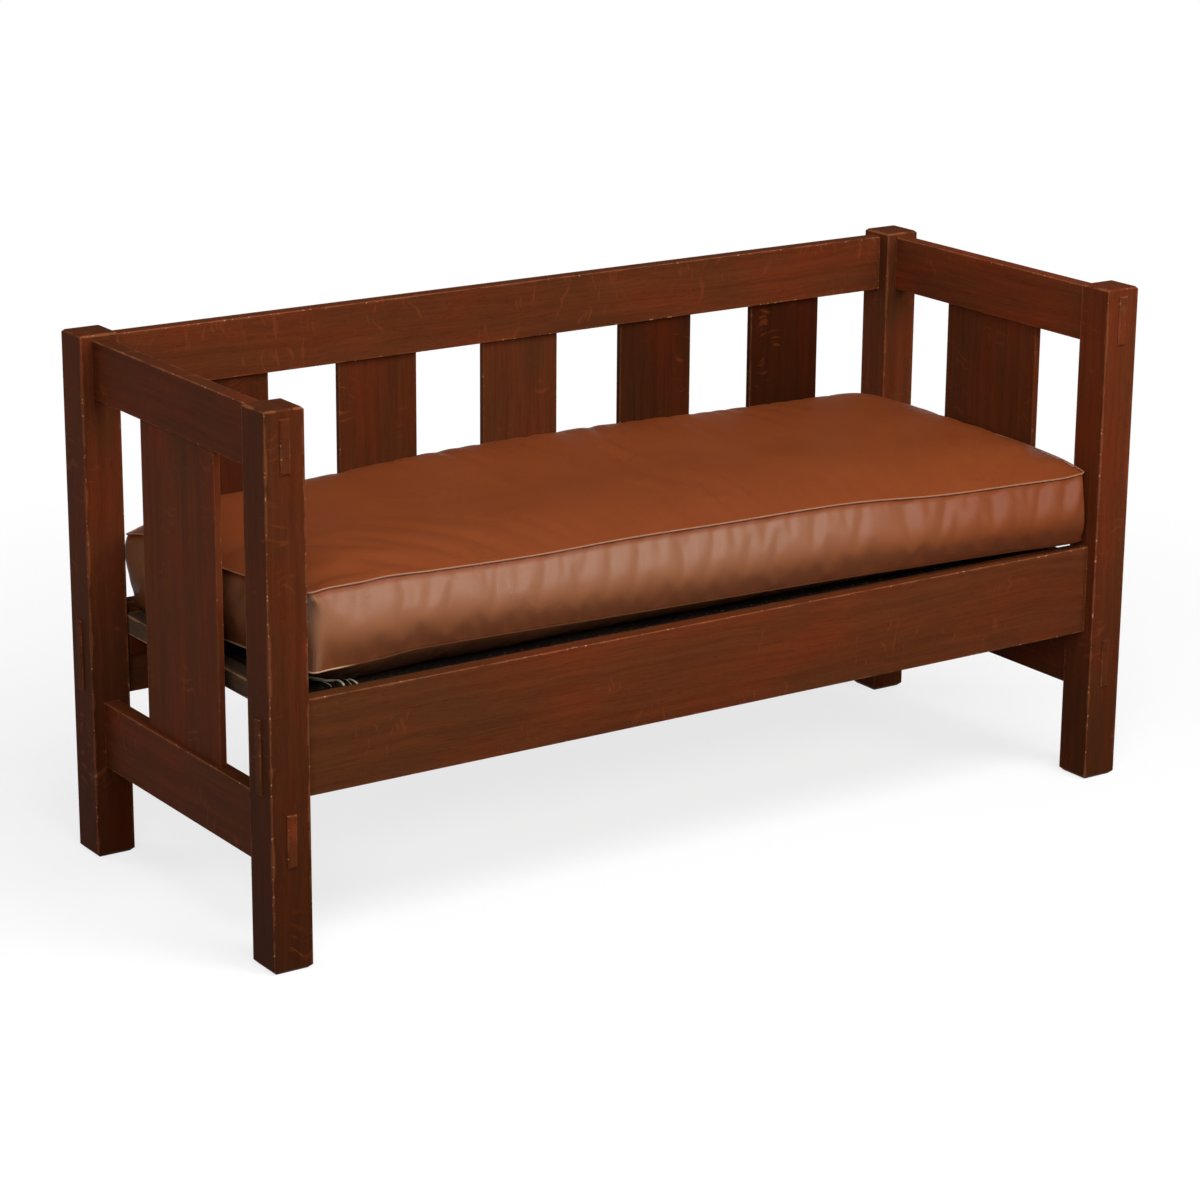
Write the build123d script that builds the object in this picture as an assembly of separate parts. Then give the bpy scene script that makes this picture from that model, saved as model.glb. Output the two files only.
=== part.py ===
from build123d import *
import os

# Mission settle: four square posts, rails with through tenons, slatted back and ends,
# a webbed seat frame that drops in between the rails, and a loose leather cushion.
# Millimetres. Origin on the floor under the centre, +X along the settle towards its
# right-hand end as seen from the front, +Y towards the back, +Z up.

# Overall size over the posts
settle_width = 1422.0
settle_depth = 557.0
settle_height = 737.0

# Posts: square, with eased corners, a bevelled top and worn, rounded feet
post_width = 57.0
post_corner_radius = 1.6
post_top_ease = 3.0
foot_ease = 5.0

# Rails: one thickness, set back from the outer faces of the posts
rail_thickness = 23.5
rail_setback = 17.0
back_rail_setback = 14.0
rail_arris = 1.2
post_horn = 7.0                  # how far a post stands above the top rails
side_top_rail_height = 80.0
back_top_rail_height = 82.0
seat_rail_height = 129.0
seat_rail_level = 354.5          # top edge of the front and back seat rails
side_low_rail_height = 93.5
side_low_rail_level = 224.0      # top edge of the low rails in the ends

# Tenons: the through ones stand a little proud of the post and are chamfered
tenon_thickness = 14.5
tenon_proud = 3.0
tenon_chamfer = 2.0
top_tenon_shoulder = 4.5
low_tenon_shoulder = 11.0
seat_tenon_shoulder_below = 11.5
seat_tenon_shoulder_above = 17.5
mortise_end_gap = 1.0
mortise_wall = 2.0               # wood left between a blind mortise and a through one

# Slats: let into the rails at both ends
slat_thickness = 9.5
slat_arris = 0.8
slat_seat = 12.0
back_slat_width = 127.0
back_slat_count = 5
side_slat_width = 201.5

# Ledgers: strips screwed inside the front and back seat rails to carry the seat frame
ledger_width = 22.0
ledger_height = 28.0
ledger_end_gap = 1.5
ledger_arris = 1.5
ledger_screw_count = 5
ledger_screw_end = 70.0
screw_head_radius = 4.2
screw_head_height = 2.6
screw_shank_radius = 2.1
screw_length = 36.0
screw_slot_width = 1.1
screw_slot_depth = 1.0
screw_hole_clearance = 0.05
screw_sides = 8

# Drop-in seat frame: two long members and two ends half-lapped, and a dished brace
frame_clearance = 3.0
frame_drop = 14.5                # top of the frame below the top of the seat rail
frame_member_width = 76.0
frame_member_thickness = 26.0
frame_arris = 1.0
brace_width = 60.0
brace_dish = 9.0
brace_tenon_length = 24.0
brace_tenon_thickness = 9.0

# Jute webbing, laced over and under
webbing_width = 89.0
webbing_thickness = 1.6
long_strip_count = 3
cross_strip_count = 10
webbing_tuck = 1.5               # gap between a strip's end and the hem of the cloth

# Cloth over the webbing, with a folded hem and a row of tacks
cloth_thickness = 1.2
cloth_margin = 26.0
cloth_hem = 14.0
tack_pitch = 25.4
tack_head_radius = 3.6
tack_crown_radius = 1.8
tack_head_height = 1.3
tack_sides = 8

# Cushion: box cushion with a foam core, crowned above and below, drawn in at the sides
cushion_left_gap = 15.0          # from the left-hand posts to the cushion's end
cushion_right_gap = 3.0          # it lies a little towards the right-hand end
cushion_setback = 20.0           # front seams behind the front of the posts
cushion_back_gap = 3.5           # from the back boxing to the back seat rail
cushion_rest_gap = 0.3
seam_low = 33.5                  # bottom seam above the cloth at mid-length
boxing_height = 104.0
cushion_lean = 13.0              # the left end sits higher and the right end lower by this
crown_height = 25.0
crown_roll = 62.0                # width of the steep part of the crown along its edge
boxing_bulge = 6.0
side_draw_in = 5.0
end_draw_in = 4.0
front_corner_radius = 24.0
back_corner_radius = 46.0
leather_thickness = 1.4
core_gap = 0.3

# Worked out from the sizes above
overrun = post_width             # how far a cutter runs past what it cuts
half_width = settle_width / 2
half_depth = settle_depth / 2
post_inner_x = half_width - post_width
post_inner_y = half_depth - post_width
top_rail_level = settle_height - post_horn
end_rail_x = half_width - rail_setback - rail_thickness / 2
front_rail_y = -half_depth + rail_setback + rail_thickness / 2
back_rail_y = half_depth - back_rail_setback - rail_thickness / 2
through_tenon_length = post_width + tenon_proud
through_tenon_inner = rail_setback + (rail_thickness + tenon_thickness) / 2
blind_tenon_length = post_width - through_tenon_inner - mortise_wall - mortise_end_gap
frame_top = seat_rail_level - frame_drop
frame_bottom = frame_top - frame_member_thickness
cloth_top = frame_top + 2 * webbing_thickness + cloth_thickness
cushion_rest = cloth_top + cushion_rest_gap
cushion_left = -post_inner_x + cushion_left_gap
cushion_right = post_inner_x - cushion_right_gap
cushion_length = cushion_right - cushion_left
cushion_front = -half_depth + cushion_setback
cushion_back = back_rail_y - rail_thickness / 2 - cushion_back_gap - boxing_bulge
cushion_depth = cushion_back - cushion_front


def block(low, high):
    """A rectangular solid between two opposite corners."""
    size = [b - a for a, b in zip(low, high)]
    middle = [(a + b) / 2 for a, b in zip(low, high)]
    return Pos(*middle) * Box(*size)


def save(name, *solids):
    """Write one node, as a single solid or a group of separate ones."""
    shape = solids[0] if len(solids) == 1 else Compound(children=list(solids))
    shape.label = name
    export_step(shape, f"parts/{name}.step")


def post_blank(x, y):
    """A post before mortising: a rounded square bar, bevelled above and eased below."""
    levels = (
        (0, foot_ease),
        (foot_ease, 0),
        (settle_height - post_top_ease, 0),
        (settle_height, post_top_ease),
    )
    sections = [
        Pos(x, y, z) * RectangleRounded(post_width - 2 * inset, post_width - 2 * inset, post_corner_radius)
        for z, inset in levels
    ]
    return loft(sections, ruled=True)


def rail_blank(shoulder_length, height, tenon_length, tenon_low, tenon_high, through):
    """A rail along X about the origin, lower edge at z = 0, with a tenon at each end."""
    body = Pos(0, 0, height / 2) * Box(shoulder_length, rail_thickness, height)
    body = fillet(body.edges().filter_by(Axis.X), rail_arris)
    reach = shoulder_length / 2 + tenon_length
    tenon = block((-reach, -tenon_thickness / 2, tenon_low), (reach, tenon_thickness / 2, tenon_high))
    if through:
        end_faces = tenon.faces().filter_by(Axis.X)
        tenon = chamfer(end_faces.edges(), tenon_chamfer)
    return body + tenon


def slat_blank(width, length):
    """An upright board, its width along X and its lower end at z = 0."""
    board = Pos(0, 0, length / 2) * Box(width, slat_thickness, length)
    return fillet(board.edges().filter_by(Axis.Z), slat_arris)


def slat_mortise(width, low, high):
    """The square-cornered pocket that a slat's end stands in."""
    return block((-width / 2, -slat_thickness / 2, low), (width / 2, slat_thickness / 2, high))


def turn_front_to_back(shape, x, z):
    """Set a piece made along X at an end of the settle, turned to run front to back."""
    return Pos(x, 0, z) * Rot(0, 0, 90) * shape


# Levels and spans that several pieces share
side_top_low = top_rail_level - side_top_rail_height
back_top_low = top_rail_level - back_top_rail_height
side_low_low = side_low_rail_level - side_low_rail_height
seat_rail_low = seat_rail_level - seat_rail_height
front_span = 2 * post_inner_x
end_span = 2 * post_inner_y
seat_tenon = (seat_tenon_shoulder_below, seat_rail_height - seat_tenon_shoulder_above)
side_top_tenon = (top_tenon_shoulder, side_top_rail_height - top_tenon_shoulder)
side_low_tenon = (low_tenon_shoulder, side_low_rail_height - low_tenon_shoulder)
back_top_tenon = (top_tenon_shoulder, back_top_rail_height - top_tenon_shoulder)


def make_posts():
    """Four posts, each with two through mortises or more for the rails that meet in it."""
    for side, sx in (("left", -1), ("right", 1)):
        for row, sy in (("front", -1), ("back", 1)):
            x = sx * (half_width - post_width / 2)
            y = sy * (half_depth - post_width / 2)
            post = post_blank(x, y)
            rail_y = front_rail_y if sy < 0 else back_rail_y
            for base, tenon in ((side_top_low, side_top_tenon), (side_low_low, side_low_tenon)):
                post -= block(
                    (sx * end_rail_x - tenon_thickness / 2, y - overrun, base + tenon[0]),
                    (sx * end_rail_x + tenon_thickness / 2, y + overrun, base + tenon[1]),
                )
            post -= block(
                (x - overrun, rail_y - tenon_thickness / 2, seat_rail_low + seat_tenon[0]),
                (x + overrun, rail_y + tenon_thickness / 2, seat_rail_low + seat_tenon[1]),
            )
            if sy > 0:
                bottom = post_inner_x + blind_tenon_length + mortise_end_gap
                ends = sorted((sx * (post_inner_x - overrun), sx * bottom))
                post -= block(
                    (ends[0], rail_y - tenon_thickness / 2, back_top_low + back_top_tenon[0]),
                    (ends[1], rail_y + tenon_thickness / 2, back_top_low + back_top_tenon[1]),
                )
            save(f"post_{row}_{side}", post)


def back_slat_places():
    """Middle of each back slat: the slats and the gaps between them share the span evenly."""
    gap = (front_span - back_slat_count * back_slat_width) / (back_slat_count + 1)
    first = -front_span / 2 + gap + back_slat_width / 2
    return [first + i * (gap + back_slat_width) for i in range(back_slat_count)]


def make_back_and_seat_rails():
    """Front and back seat rails and the back's top rail, with the back slats between."""
    front = rail_blank(front_span, seat_rail_height, through_tenon_length, *seat_tenon, True)
    front = Pos(0, front_rail_y, seat_rail_low) * front
    back = rail_blank(front_span, seat_rail_height, through_tenon_length, *seat_tenon, True)
    back = Pos(0, back_rail_y, seat_rail_low) * back
    top = rail_blank(front_span, back_top_rail_height, blind_tenon_length, *back_top_tenon, False)
    top = Pos(0, back_rail_y, back_top_low) * top

    pocket = slat_mortise(back_slat_width, -slat_seat - mortise_end_gap, slat_seat + mortise_end_gap)
    slat = slat_blank(back_slat_width, back_top_low - seat_rail_level + 2 * slat_seat)
    for number, x in enumerate(back_slat_places(), start=1):
        back -= Pos(x, back_rail_y, seat_rail_level) * pocket
        top -= Pos(x, back_rail_y, back_top_low) * pocket
        save(f"back_slat_{number}", Pos(x, back_rail_y, seat_rail_level - slat_seat) * slat)

    rails = {"front": front, "back": back}
    for row, face, facing in ledger_faces():
        for place in ledger_screw_places(face, facing):
            rails[row] -= lay_screw(screw_hole, *place, facing)
        save(f"{row}_seat_rail", rails[row])
    save("back_top_rail", top)


def make_ends():
    """Each end: a top rail, a low rail and one wide slat let into both."""
    top_blank = rail_blank(end_span, side_top_rail_height, through_tenon_length, *side_top_tenon, True)
    low_blank = rail_blank(end_span, side_low_rail_height, through_tenon_length, *side_low_tenon, True)
    pocket = slat_mortise(side_slat_width, -slat_seat - mortise_end_gap, slat_seat + mortise_end_gap)
    slat = slat_blank(side_slat_width, side_top_low - side_low_rail_level + 2 * slat_seat)
    for side, sx in (("left", -1), ("right", 1)):
        x = sx * end_rail_x
        top = turn_front_to_back(top_blank, x, side_top_low)
        low = turn_front_to_back(low_blank, x, side_low_low)
        top -= turn_front_to_back(pocket, x, side_top_low)
        low -= turn_front_to_back(pocket, x, side_low_rail_level)
        save(f"side_top_rail_{side}", top)
        save(f"side_low_rail_{side}", low)
        save(f"side_slat_{side}", turn_front_to_back(slat, x, side_low_rail_level - slat_seat))


def ledger_faces():
    """The Y of each seat rail's inner face, with the way that the ledger stands off it."""
    return (
        ("front", front_rail_y + rail_thickness / 2, 1),
        ("back", back_rail_y - rail_thickness / 2, -1),
    )


def ledger_screw_places(face, facing):
    """Where each screw's head bears on the ledger that stands off one rail's face."""
    reach = post_inner_x - ledger_screw_end
    step = 2 * reach / (ledger_screw_count - 1)
    y, z = face + facing * ledger_width, frame_bottom - ledger_height / 2
    return [(-reach + i * step, y, z) for i in range(ledger_screw_count)]


def tapered(start_radius, end_radius, height, sides):
    """A bar of many flat sides from z = 0, which can widen or narrow on its way up."""
    return loft(
        [RegularPolygon(start_radius, sides), Pos(0, 0, height) * RegularPolygon(end_radius, sides)],
        ruled=True,
    )


def screw_blank(clearance, length):
    """A countersunk head at z = 0 and its shank, larger all round by the clearance."""
    shank_radius = screw_shank_radius + clearance
    head = tapered(screw_head_radius + clearance, shank_radius, screw_head_height, screw_sides)
    return head + tapered(shank_radius, shank_radius, length, screw_sides)


def lay_screw(shape, x, y, z, facing):
    """Turn a screw or its hole from z = 0 up to run into the ledger from its face."""
    return Pos(x, y, z) * Rot(90 * facing, 0, 0) * shape


# The hole for one screw, a little wider and just deeper than the screw
screw_hole = screw_blank(screw_hole_clearance, screw_length + mortise_end_gap / 2)


def make_ledgers():
    """The two ledgers and the screws that hold them."""
    length = front_span - 2 * ledger_end_gap
    slot = Box(2 * screw_head_radius, screw_slot_width, 2 * screw_slot_depth)
    screw = screw_blank(0, screw_length) - slot
    screws = []
    for row, face, facing in ledger_faces():
        strip = Box(length, ledger_width, ledger_height)
        strip = fillet(strip.edges().filter_by(Axis.X).group_by(Axis.Z)[0], ledger_arris)
        strip = Pos(0, face + facing * ledger_width / 2, frame_bottom - ledger_height / 2) * strip
        for place in ledger_screw_places(face, facing):
            strip -= lay_screw(screw_hole, *place, facing)
            screws.append(lay_screw(screw, *place, facing))
        save(f"ledger_{row}", strip)
    save("ledger_screws", *screws)


# The seat frame's plan, shared by its members, the webbing, the cloth and the tacks
frame_left = -post_inner_x + frame_clearance
frame_right = post_inner_x - frame_clearance
frame_front = front_rail_y + rail_thickness / 2 + frame_clearance
frame_back = back_rail_y - rail_thickness / 2 - frame_clearance
frame_mid_z = (frame_top + frame_bottom) / 2
opening_front = frame_front + frame_member_width
opening_back = frame_back - frame_member_width
opening_left = frame_left + frame_member_width
opening_right = frame_right - frame_member_width


def make_seat_frame():
    """Long members lapped under the ends at the corners, and a brace that dips clear of the webbing."""
    brace_mortise_z = (
        frame_bottom + frame_member_thickness / 2 - brace_tenon_thickness / 2 - brace_dish / 2,
        frame_bottom + frame_member_thickness / 2 + brace_tenon_thickness / 2 - brace_dish / 2,
    )
    brace_shoulder = frame_arris
    for row, low, high, inner, way in (
        ("front", frame_front, opening_front, opening_front, -1),
        ("back", opening_back, frame_back, opening_back, 1),
    ):
        member = block((frame_left, low, frame_bottom), (frame_right, high, frame_top))
        member = fillet(member.edges().filter_by(Axis.X), frame_arris)
        for start, stop in ((frame_left - overrun, opening_left), (opening_right, frame_right + overrun)):
            member -= block((start, low - overrun, frame_mid_z), (stop, high + overrun, frame_top + overrun))
        depth = way * (brace_tenon_length + mortise_end_gap)
        member -= block(
            (-brace_width / 2 + brace_shoulder, min(inner, inner + depth), brace_mortise_z[0]),
            (brace_width / 2 - brace_shoulder, max(inner, inner + depth), brace_mortise_z[1]),
        )
        save(f"seat_frame_{row}", member)
    for side, low, high in (("left", frame_left, opening_left), ("right", opening_right, frame_right)):
        member = block((low, frame_front, frame_bottom), (high, frame_back, frame_top))
        member = fillet(member.edges().filter_by(Axis.Y), frame_arris)
        for start, stop in ((frame_front - overrun, opening_front), (opening_back, frame_back + overrun)):
            member -= block(
                (low - overrun, start, frame_bottom - overrun), (high + overrun, stop, frame_mid_z)
            )
        save(f"seat_frame_{side}", member)

    middle_y = (opening_front + opening_back) / 2
    with BuildPart() as brace:
        with BuildSketch(Plane.YZ.offset(-brace_width / 2)):
            with BuildLine():
                Polyline(
                    (opening_front, frame_top),
                    (opening_front, frame_bottom),
                    (opening_back, frame_bottom),
                    (opening_back, frame_top),
                )
                ThreePointArc(
                    (opening_back, frame_top), (middle_y, frame_top - brace_dish), (opening_front, frame_top)
                )
            make_face()
        extrude(amount=brace_width)
    tenons = block(
        (-brace_width / 2 + brace_shoulder, opening_front - brace_tenon_length, brace_mortise_z[0]),
        (brace_width / 2 - brace_shoulder, opening_back + brace_tenon_length, brace_mortise_z[1]),
    )
    save("seat_frame_brace", brace.part + tenons)


def spread(low, high, count):
    """Middles of strips laid side by side with even gaps from edge to edge."""
    gap = (high - low - count * webbing_width) / (count + 1)
    return [low + gap + webbing_width / 2 + i * (gap + webbing_width) for i in range(count)]


def strip_profile(start, stop, edge_low, edge_high, crossings, over_first):
    """Side view of one strip: flat on the frame, then over and under each strip it crosses."""
    low, high = frame_top, frame_top + webbing_thickness
    path = [(start, low), (edge_low, low)]
    over = over_first
    for middle in crossings:
        level = high if over else low
        path += [(middle - webbing_width / 2, level), (middle + webbing_width / 2, level)]
        over = not over
    path += [(edge_high, low), (stop, low)]
    upper = [(s, z + webbing_thickness) for s, z in reversed(path)]
    return path + upper + [path[0]]


def make_webbing():
    """Strips along the settle and strips across it, laced over and under by turns."""
    tuck = cloth_margin + cloth_hem + webbing_tuck
    rows = spread(opening_front, opening_back, long_strip_count)
    columns = spread(opening_left, opening_right, cross_strip_count)
    for number, y in enumerate(rows, start=1):
        outline = strip_profile(
            frame_left + tuck, frame_right - tuck, opening_left, opening_right, columns, number % 2 == 1
        )
        face = Plane.XZ.offset(-y) * make_face(Polyline(*outline))
        save(f"webbing_long_{number}", extrude(face, webbing_width / 2, both=True))
    for number, x in enumerate(columns, start=1):
        outline = strip_profile(
            frame_front + tuck, frame_back - tuck, opening_front, opening_back, rows, number % 2 == 0
        )
        face = Plane.YZ.offset(x) * make_face(Polyline(*outline))
        save(f"webbing_cross_{number:02d}", extrude(face, webbing_width / 2, both=True))


def make_cloth_and_tacks():
    """The black cloth over the webbing, folded under round its edge, and its row of tacks."""
    low = (frame_left + cloth_margin, frame_front + cloth_margin)
    high = (frame_right - cloth_margin, frame_back - cloth_margin)
    sheet = block((*low, cloth_top - cloth_thickness), (*high, cloth_top))
    hem = block((*low, frame_top), (*high, cloth_top)) - block(
        (low[0] + cloth_hem, low[1] + cloth_hem, frame_top - overrun),
        (high[0] - cloth_hem, high[1] - cloth_hem, cloth_top + overrun),
    )
    save("seat_cloth", sheet + hem)

    row_low = (low[0] + cloth_hem / 2, low[1] + cloth_hem / 2)
    row_high = (high[0] - cloth_hem / 2, high[1] - cloth_hem / 2)
    head = tapered(tack_head_radius, tack_crown_radius, tack_head_height, tack_sides)
    tacks = []
    across = max(1, round((row_high[0] - row_low[0]) / tack_pitch))
    deep = max(1, round((row_high[1] - row_low[1]) / tack_pitch))
    for i in range(across + 1):
        x = row_low[0] + (row_high[0] - row_low[0]) * i / across
        tacks += [Pos(x, y, cloth_top) * head for y in (row_low[1], row_high[1])]
    for i in range(1, deep):
        y = row_low[1] + (row_high[1] - row_low[1]) * i / deep
        tacks += [Pos(x, y, cloth_top) * head for x in (row_low[0], row_high[0])]
    save("seat_tacks", *tacks)


# Along the cushion: share of its length, share of the crown there and share of the draw-in
cushion_station_shares = (
    (0.0, 0.10, 0.0),
    (0.025, 0.38, 0.15),
    (0.06, 0.66, 0.40),
    (0.11, 0.86, 0.68),
    (0.20, 0.97, 0.9),
    (0.5, 1.0, 1.0),
    (0.80, 0.97, 0.9),
    (0.89, 0.86, 0.68),
    (0.94, 0.66, 0.40),
    (0.975, 0.38, 0.15),
    (1.0, 0.10, 0.0),
)
# On the crown's steep edge: share of its width and share of its height at the arc's middle point
crown_roll_share = (0.4, 0.62)
# Share of the crown's height reached where the steep edge ends
crown_shoulder_share = 0.86


def bend(points, flat):
    """An arc through three points, or two straight cuts inside it."""
    return Polyline(*points).edges() if flat else [ThreePointArc(*points)]


def cushion_section(share, crown_share, draw_share, inset, flat):
    """The cushion cut across its length at one station, as one closed outline."""
    x = cushion_left + share * cushion_length
    middle_y = (cushion_front + cushion_back) / 2
    lean = -cushion_lean * 2 * (share - 0.5)
    front = cushion_front + side_draw_in * draw_share + inset
    back = cushion_back - side_draw_in * draw_share - inset
    seam_bottom = cloth_top + seam_low + lean + inset
    seam_top = cloth_top + seam_low + boxing_height + lean - inset
    top = seam_top + crown_height * crown_share
    bottom = seam_bottom - (seam_bottom - cloth_top - inset) * crown_share
    middle = (seam_bottom + seam_top) / 2

    def rolled(edge, way, seam, level):
        """Steep bend from a seam in to the shoulder of the crown."""
        rise = (level - seam) * crown_shoulder_share
        points = (
            (edge, seam),
            (edge + way * crown_roll * crown_roll_share[0], seam + rise * crown_roll_share[1]),
            (edge + way * crown_roll, seam + rise),
        )
        return bend(points, flat)

    near, far = front + crown_roll, back - crown_roll
    top_shoulder = seam_top + (top - seam_top) * crown_shoulder_share
    bottom_shoulder = seam_bottom + (bottom - seam_bottom) * crown_shoulder_share
    outline = [
        *rolled(front, 1, seam_top, top),
        *bend(((near, top_shoulder), (middle_y, top), (far, top_shoulder)), flat),
        *rolled(back, -1, seam_top, top),
        *bend(((back, seam_top), (back + boxing_bulge, middle), (back, seam_bottom)), flat),
        *rolled(back, -1, seam_bottom, bottom),
        *bend(((far, bottom_shoulder), (middle_y, bottom), (near, bottom_shoulder)), flat),
        *rolled(front, 1, seam_bottom, bottom),
        *bend(((front, seam_bottom), (front - boxing_bulge, middle), (front, seam_top)), flat),
    ]
    return Plane.YZ.offset(x) * make_face(outline)


def cushion_plan(inset, flat):
    """The cushion seen from above: small corners in front, large ones behind, ends drawn in."""
    left, right = cushion_left + inset, cushion_right - inset
    front, back = cushion_front - boxing_bulge + inset, cushion_back + boxing_bulge - inset
    middle_y = (cushion_front + cushion_back) / 2
    near, far = front_corner_radius, back_corner_radius
    ends = [(left + end_draw_in, middle_y), (right - end_draw_in, middle_y)]
    outline = [
        *Line((left + near, front), (right - near, front)).edges(),
        *bend(((right, front + near), ends[1], (right, back - far)), flat),
        *Line((right - far, back), (left + far, back)).edges(),
        *bend(((left, back - far), ends[0], (left, front + near)), flat),
    ]
    for x, y, radius, way_x, way_y in (
        (right, front, near, -1, 1),
        (right, back, far, -1, -1),
        (left, back, far, 1, -1),
        (left, front, near, 1, 1),
    ):
        along, across = (x + way_x * radius, y), (x, y + way_y * radius)
        if flat:
            outline += Line(along, across).edges()
        else:
            outline.append(RadiusArc(along, across, way_x * way_y * radius))
    return make_face(outline)


def cushion_form(inset, flat):
    """The whole cushion, or what lies a given depth inside its cover."""
    body = loft([cushion_section(*station, inset, flat) for station in cushion_station_shares], ruled=True)
    floor = cushion_rest + inset
    ceiling = cloth_top + seam_low + boxing_height + crown_height + cushion_lean + overrun
    return body & extrude(Pos(0, 0, floor) * cushion_plan(inset, flat), ceiling - floor)


def make_cushion():
    """A leather cover sewn shut round a core that is cut from foam with flat cuts."""
    save("cushion_cover", cushion_form(0, False) - cushion_form(leather_thickness, True))
    save("cushion_core", cushion_form(leather_thickness + core_gap, True))


os.makedirs("parts", exist_ok=True)
make_posts()
make_back_and_seat_rails()
make_ends()
make_ledgers()
make_seat_frame()
make_webbing()
make_cloth_and_tacks()
make_cushion()
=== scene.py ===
# %% [markdown]
# # A mission settle in fumed oak and brown leather
#
# The settle's wooden pieces, its seat frame and its cushion come from a finished CAD model.
# This lesson dresses that model: it sets the photograph's camera, lights a plain pale
# studio, gives every board its own oak, and makes the soft pieces (webbing, seat cloth and
# cushion) that CAD only holds the room for. Everything is in metres, with the origin on the
# floor under the middle of the settle, +X to its right-hand end and +Y to its back.

# %% Load the settle
import bpy
import bmesh
import math
import random
from mathutils import Matrix, Vector, noise


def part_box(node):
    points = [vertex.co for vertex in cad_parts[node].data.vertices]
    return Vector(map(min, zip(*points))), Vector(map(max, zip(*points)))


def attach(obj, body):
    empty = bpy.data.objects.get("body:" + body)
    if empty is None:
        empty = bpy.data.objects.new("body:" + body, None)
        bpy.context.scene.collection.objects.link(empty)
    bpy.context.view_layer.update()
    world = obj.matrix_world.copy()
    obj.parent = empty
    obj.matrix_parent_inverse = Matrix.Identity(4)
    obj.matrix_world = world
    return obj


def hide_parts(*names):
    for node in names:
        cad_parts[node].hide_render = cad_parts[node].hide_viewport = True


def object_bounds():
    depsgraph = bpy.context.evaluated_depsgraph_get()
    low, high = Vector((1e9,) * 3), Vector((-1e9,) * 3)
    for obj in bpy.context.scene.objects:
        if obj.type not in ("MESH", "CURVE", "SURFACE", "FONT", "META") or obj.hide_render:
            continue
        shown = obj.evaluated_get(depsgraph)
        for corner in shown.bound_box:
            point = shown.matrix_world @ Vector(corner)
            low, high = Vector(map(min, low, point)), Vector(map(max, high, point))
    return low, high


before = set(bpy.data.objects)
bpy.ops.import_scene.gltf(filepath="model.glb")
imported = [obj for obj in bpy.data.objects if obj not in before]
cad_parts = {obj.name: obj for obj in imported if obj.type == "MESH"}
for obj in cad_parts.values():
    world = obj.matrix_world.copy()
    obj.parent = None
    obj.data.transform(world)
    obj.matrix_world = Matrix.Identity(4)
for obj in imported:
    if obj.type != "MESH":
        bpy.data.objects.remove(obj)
cad_low, cad_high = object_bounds()
scene = bpy.context.scene
scene.view_settings.view_transform = "Standard"

# %% [markdown]
# ## The camera
#
# The photograph was taken from the front left, a little above the arms, with a long lens, so
# upright lines stay almost upright. The place, turn and lens below make the corners of the
# posts, rails and slats fall on the same spots of the frame as in the photograph. A camera
# could also be pointed with a constraint, but plain numbers can't drift.

# %% Camera
camera_place = Vector((-2.69806, -3.92147, 1.74568))
camera_yaw, camera_pitch, camera_roll = (math.radians(a) for a in (34.2711, 16.7418, 0.4660))
camera_data = bpy.data.cameras.new("photo_camera")
camera_data.lens, camera_data.sensor_width = 105.277, 36.0
camera_data.clip_end = 200
camera = bpy.data.objects.new("photo_camera", camera_data)
scene.collection.objects.link(camera)
camera.matrix_world = (
    Matrix.Translation(camera_place)
    @ Matrix.Rotation(-camera_yaw, 4, "Z")
    @ Matrix.Rotation(math.pi / 2 - camera_pitch, 4, "X")
    @ Matrix.Rotation(camera_roll, 4, "Z")
)
scene.camera = camera
print("camera at", tuple(round(c, 2) for c in camera_place), "lens", camera_data.lens, "mm")

# %% [markdown]
# ## Small helpers for shader nodes
#
# A material is a chain of nodes. Adding each one takes four lines by hand, so one helper adds
# a node, sets its options and fills its inputs, each with a value or with another node's
# output. The rest are short names for the nodes that every finish here needs. A value that is
# the same all over a piece is written on the shader's own socket.

# %% Node helpers
def srgb(*levels):
    """A colour as a picture editor shows it, 0 to 255, turned into the linear values of a shader."""
    linear = [c / 3294.6 if c <= 10.3 else ((c / 255 + 0.055) / 1.055) ** 2.4 for c in levels]
    return (*linear, 1.0)


def fill(tree, sockets, values):
    """Links each value that is another node's output, and writes the others on the socket."""
    for key, value in values.items() if isinstance(values, dict) else enumerate(values):
        if isinstance(value, bpy.types.NodeSocket):
            tree.links.new(value, sockets[key])
        elif value is not None:
            sockets[key].default_value = value


def put(tree, kind, inputs=(), out=0, **options):
    """Adds a node, with its options and inputs set, and gives back one of its outputs."""
    node = tree.nodes.new("ShaderNode" + kind)
    for name, value in options.items():
        setattr(node, name, value)
    fill(tree, node.inputs, inputs)
    return node.outputs[out]


def sums(tree, operation, *inputs):
    return put(tree, "Math", inputs, operation=operation)


def times(tree, first, second):
    return sums(tree, "MULTIPLY", first, second)


def plus(tree, first, second):
    return sums(tree, "ADD", first, second)


def minus(tree, first, second):
    return sums(tree, "SUBTRACT", first, second)


def split(tree, vector):
    """A vector's three numbers, which can be told apart by X, Y and Z."""
    return put(tree, "SeparateXYZ", (vector,)).node.outputs


def same_three(tree, value):
    """A vector, or a grey, with the same value three times."""
    return put(tree, "CombineXYZ", (value, value, value))


def vectors(tree, operation, *inputs):
    return put(tree, "VectorMath", inputs, operation=operation)


def spread(tree, value, low, high, to_low=0.0, to_high=1.0):
    """Eases a value from one range to another and holds it at both ends."""
    return put(tree, "MapRange", (value, low, high, to_low, to_high), interpolation_type="SMOOTHSTEP")


def blend_colour(tree, share, first, second, way="MIX"):
    return put(tree, "Mix", {0: share, 6: first, 7: second}, 2, data_type="RGBA", blend_type=way)


def blend_value(tree, share, first, second):
    return put(tree, "Mix", {0: share, 2: first, 3: second}, 0)


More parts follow.
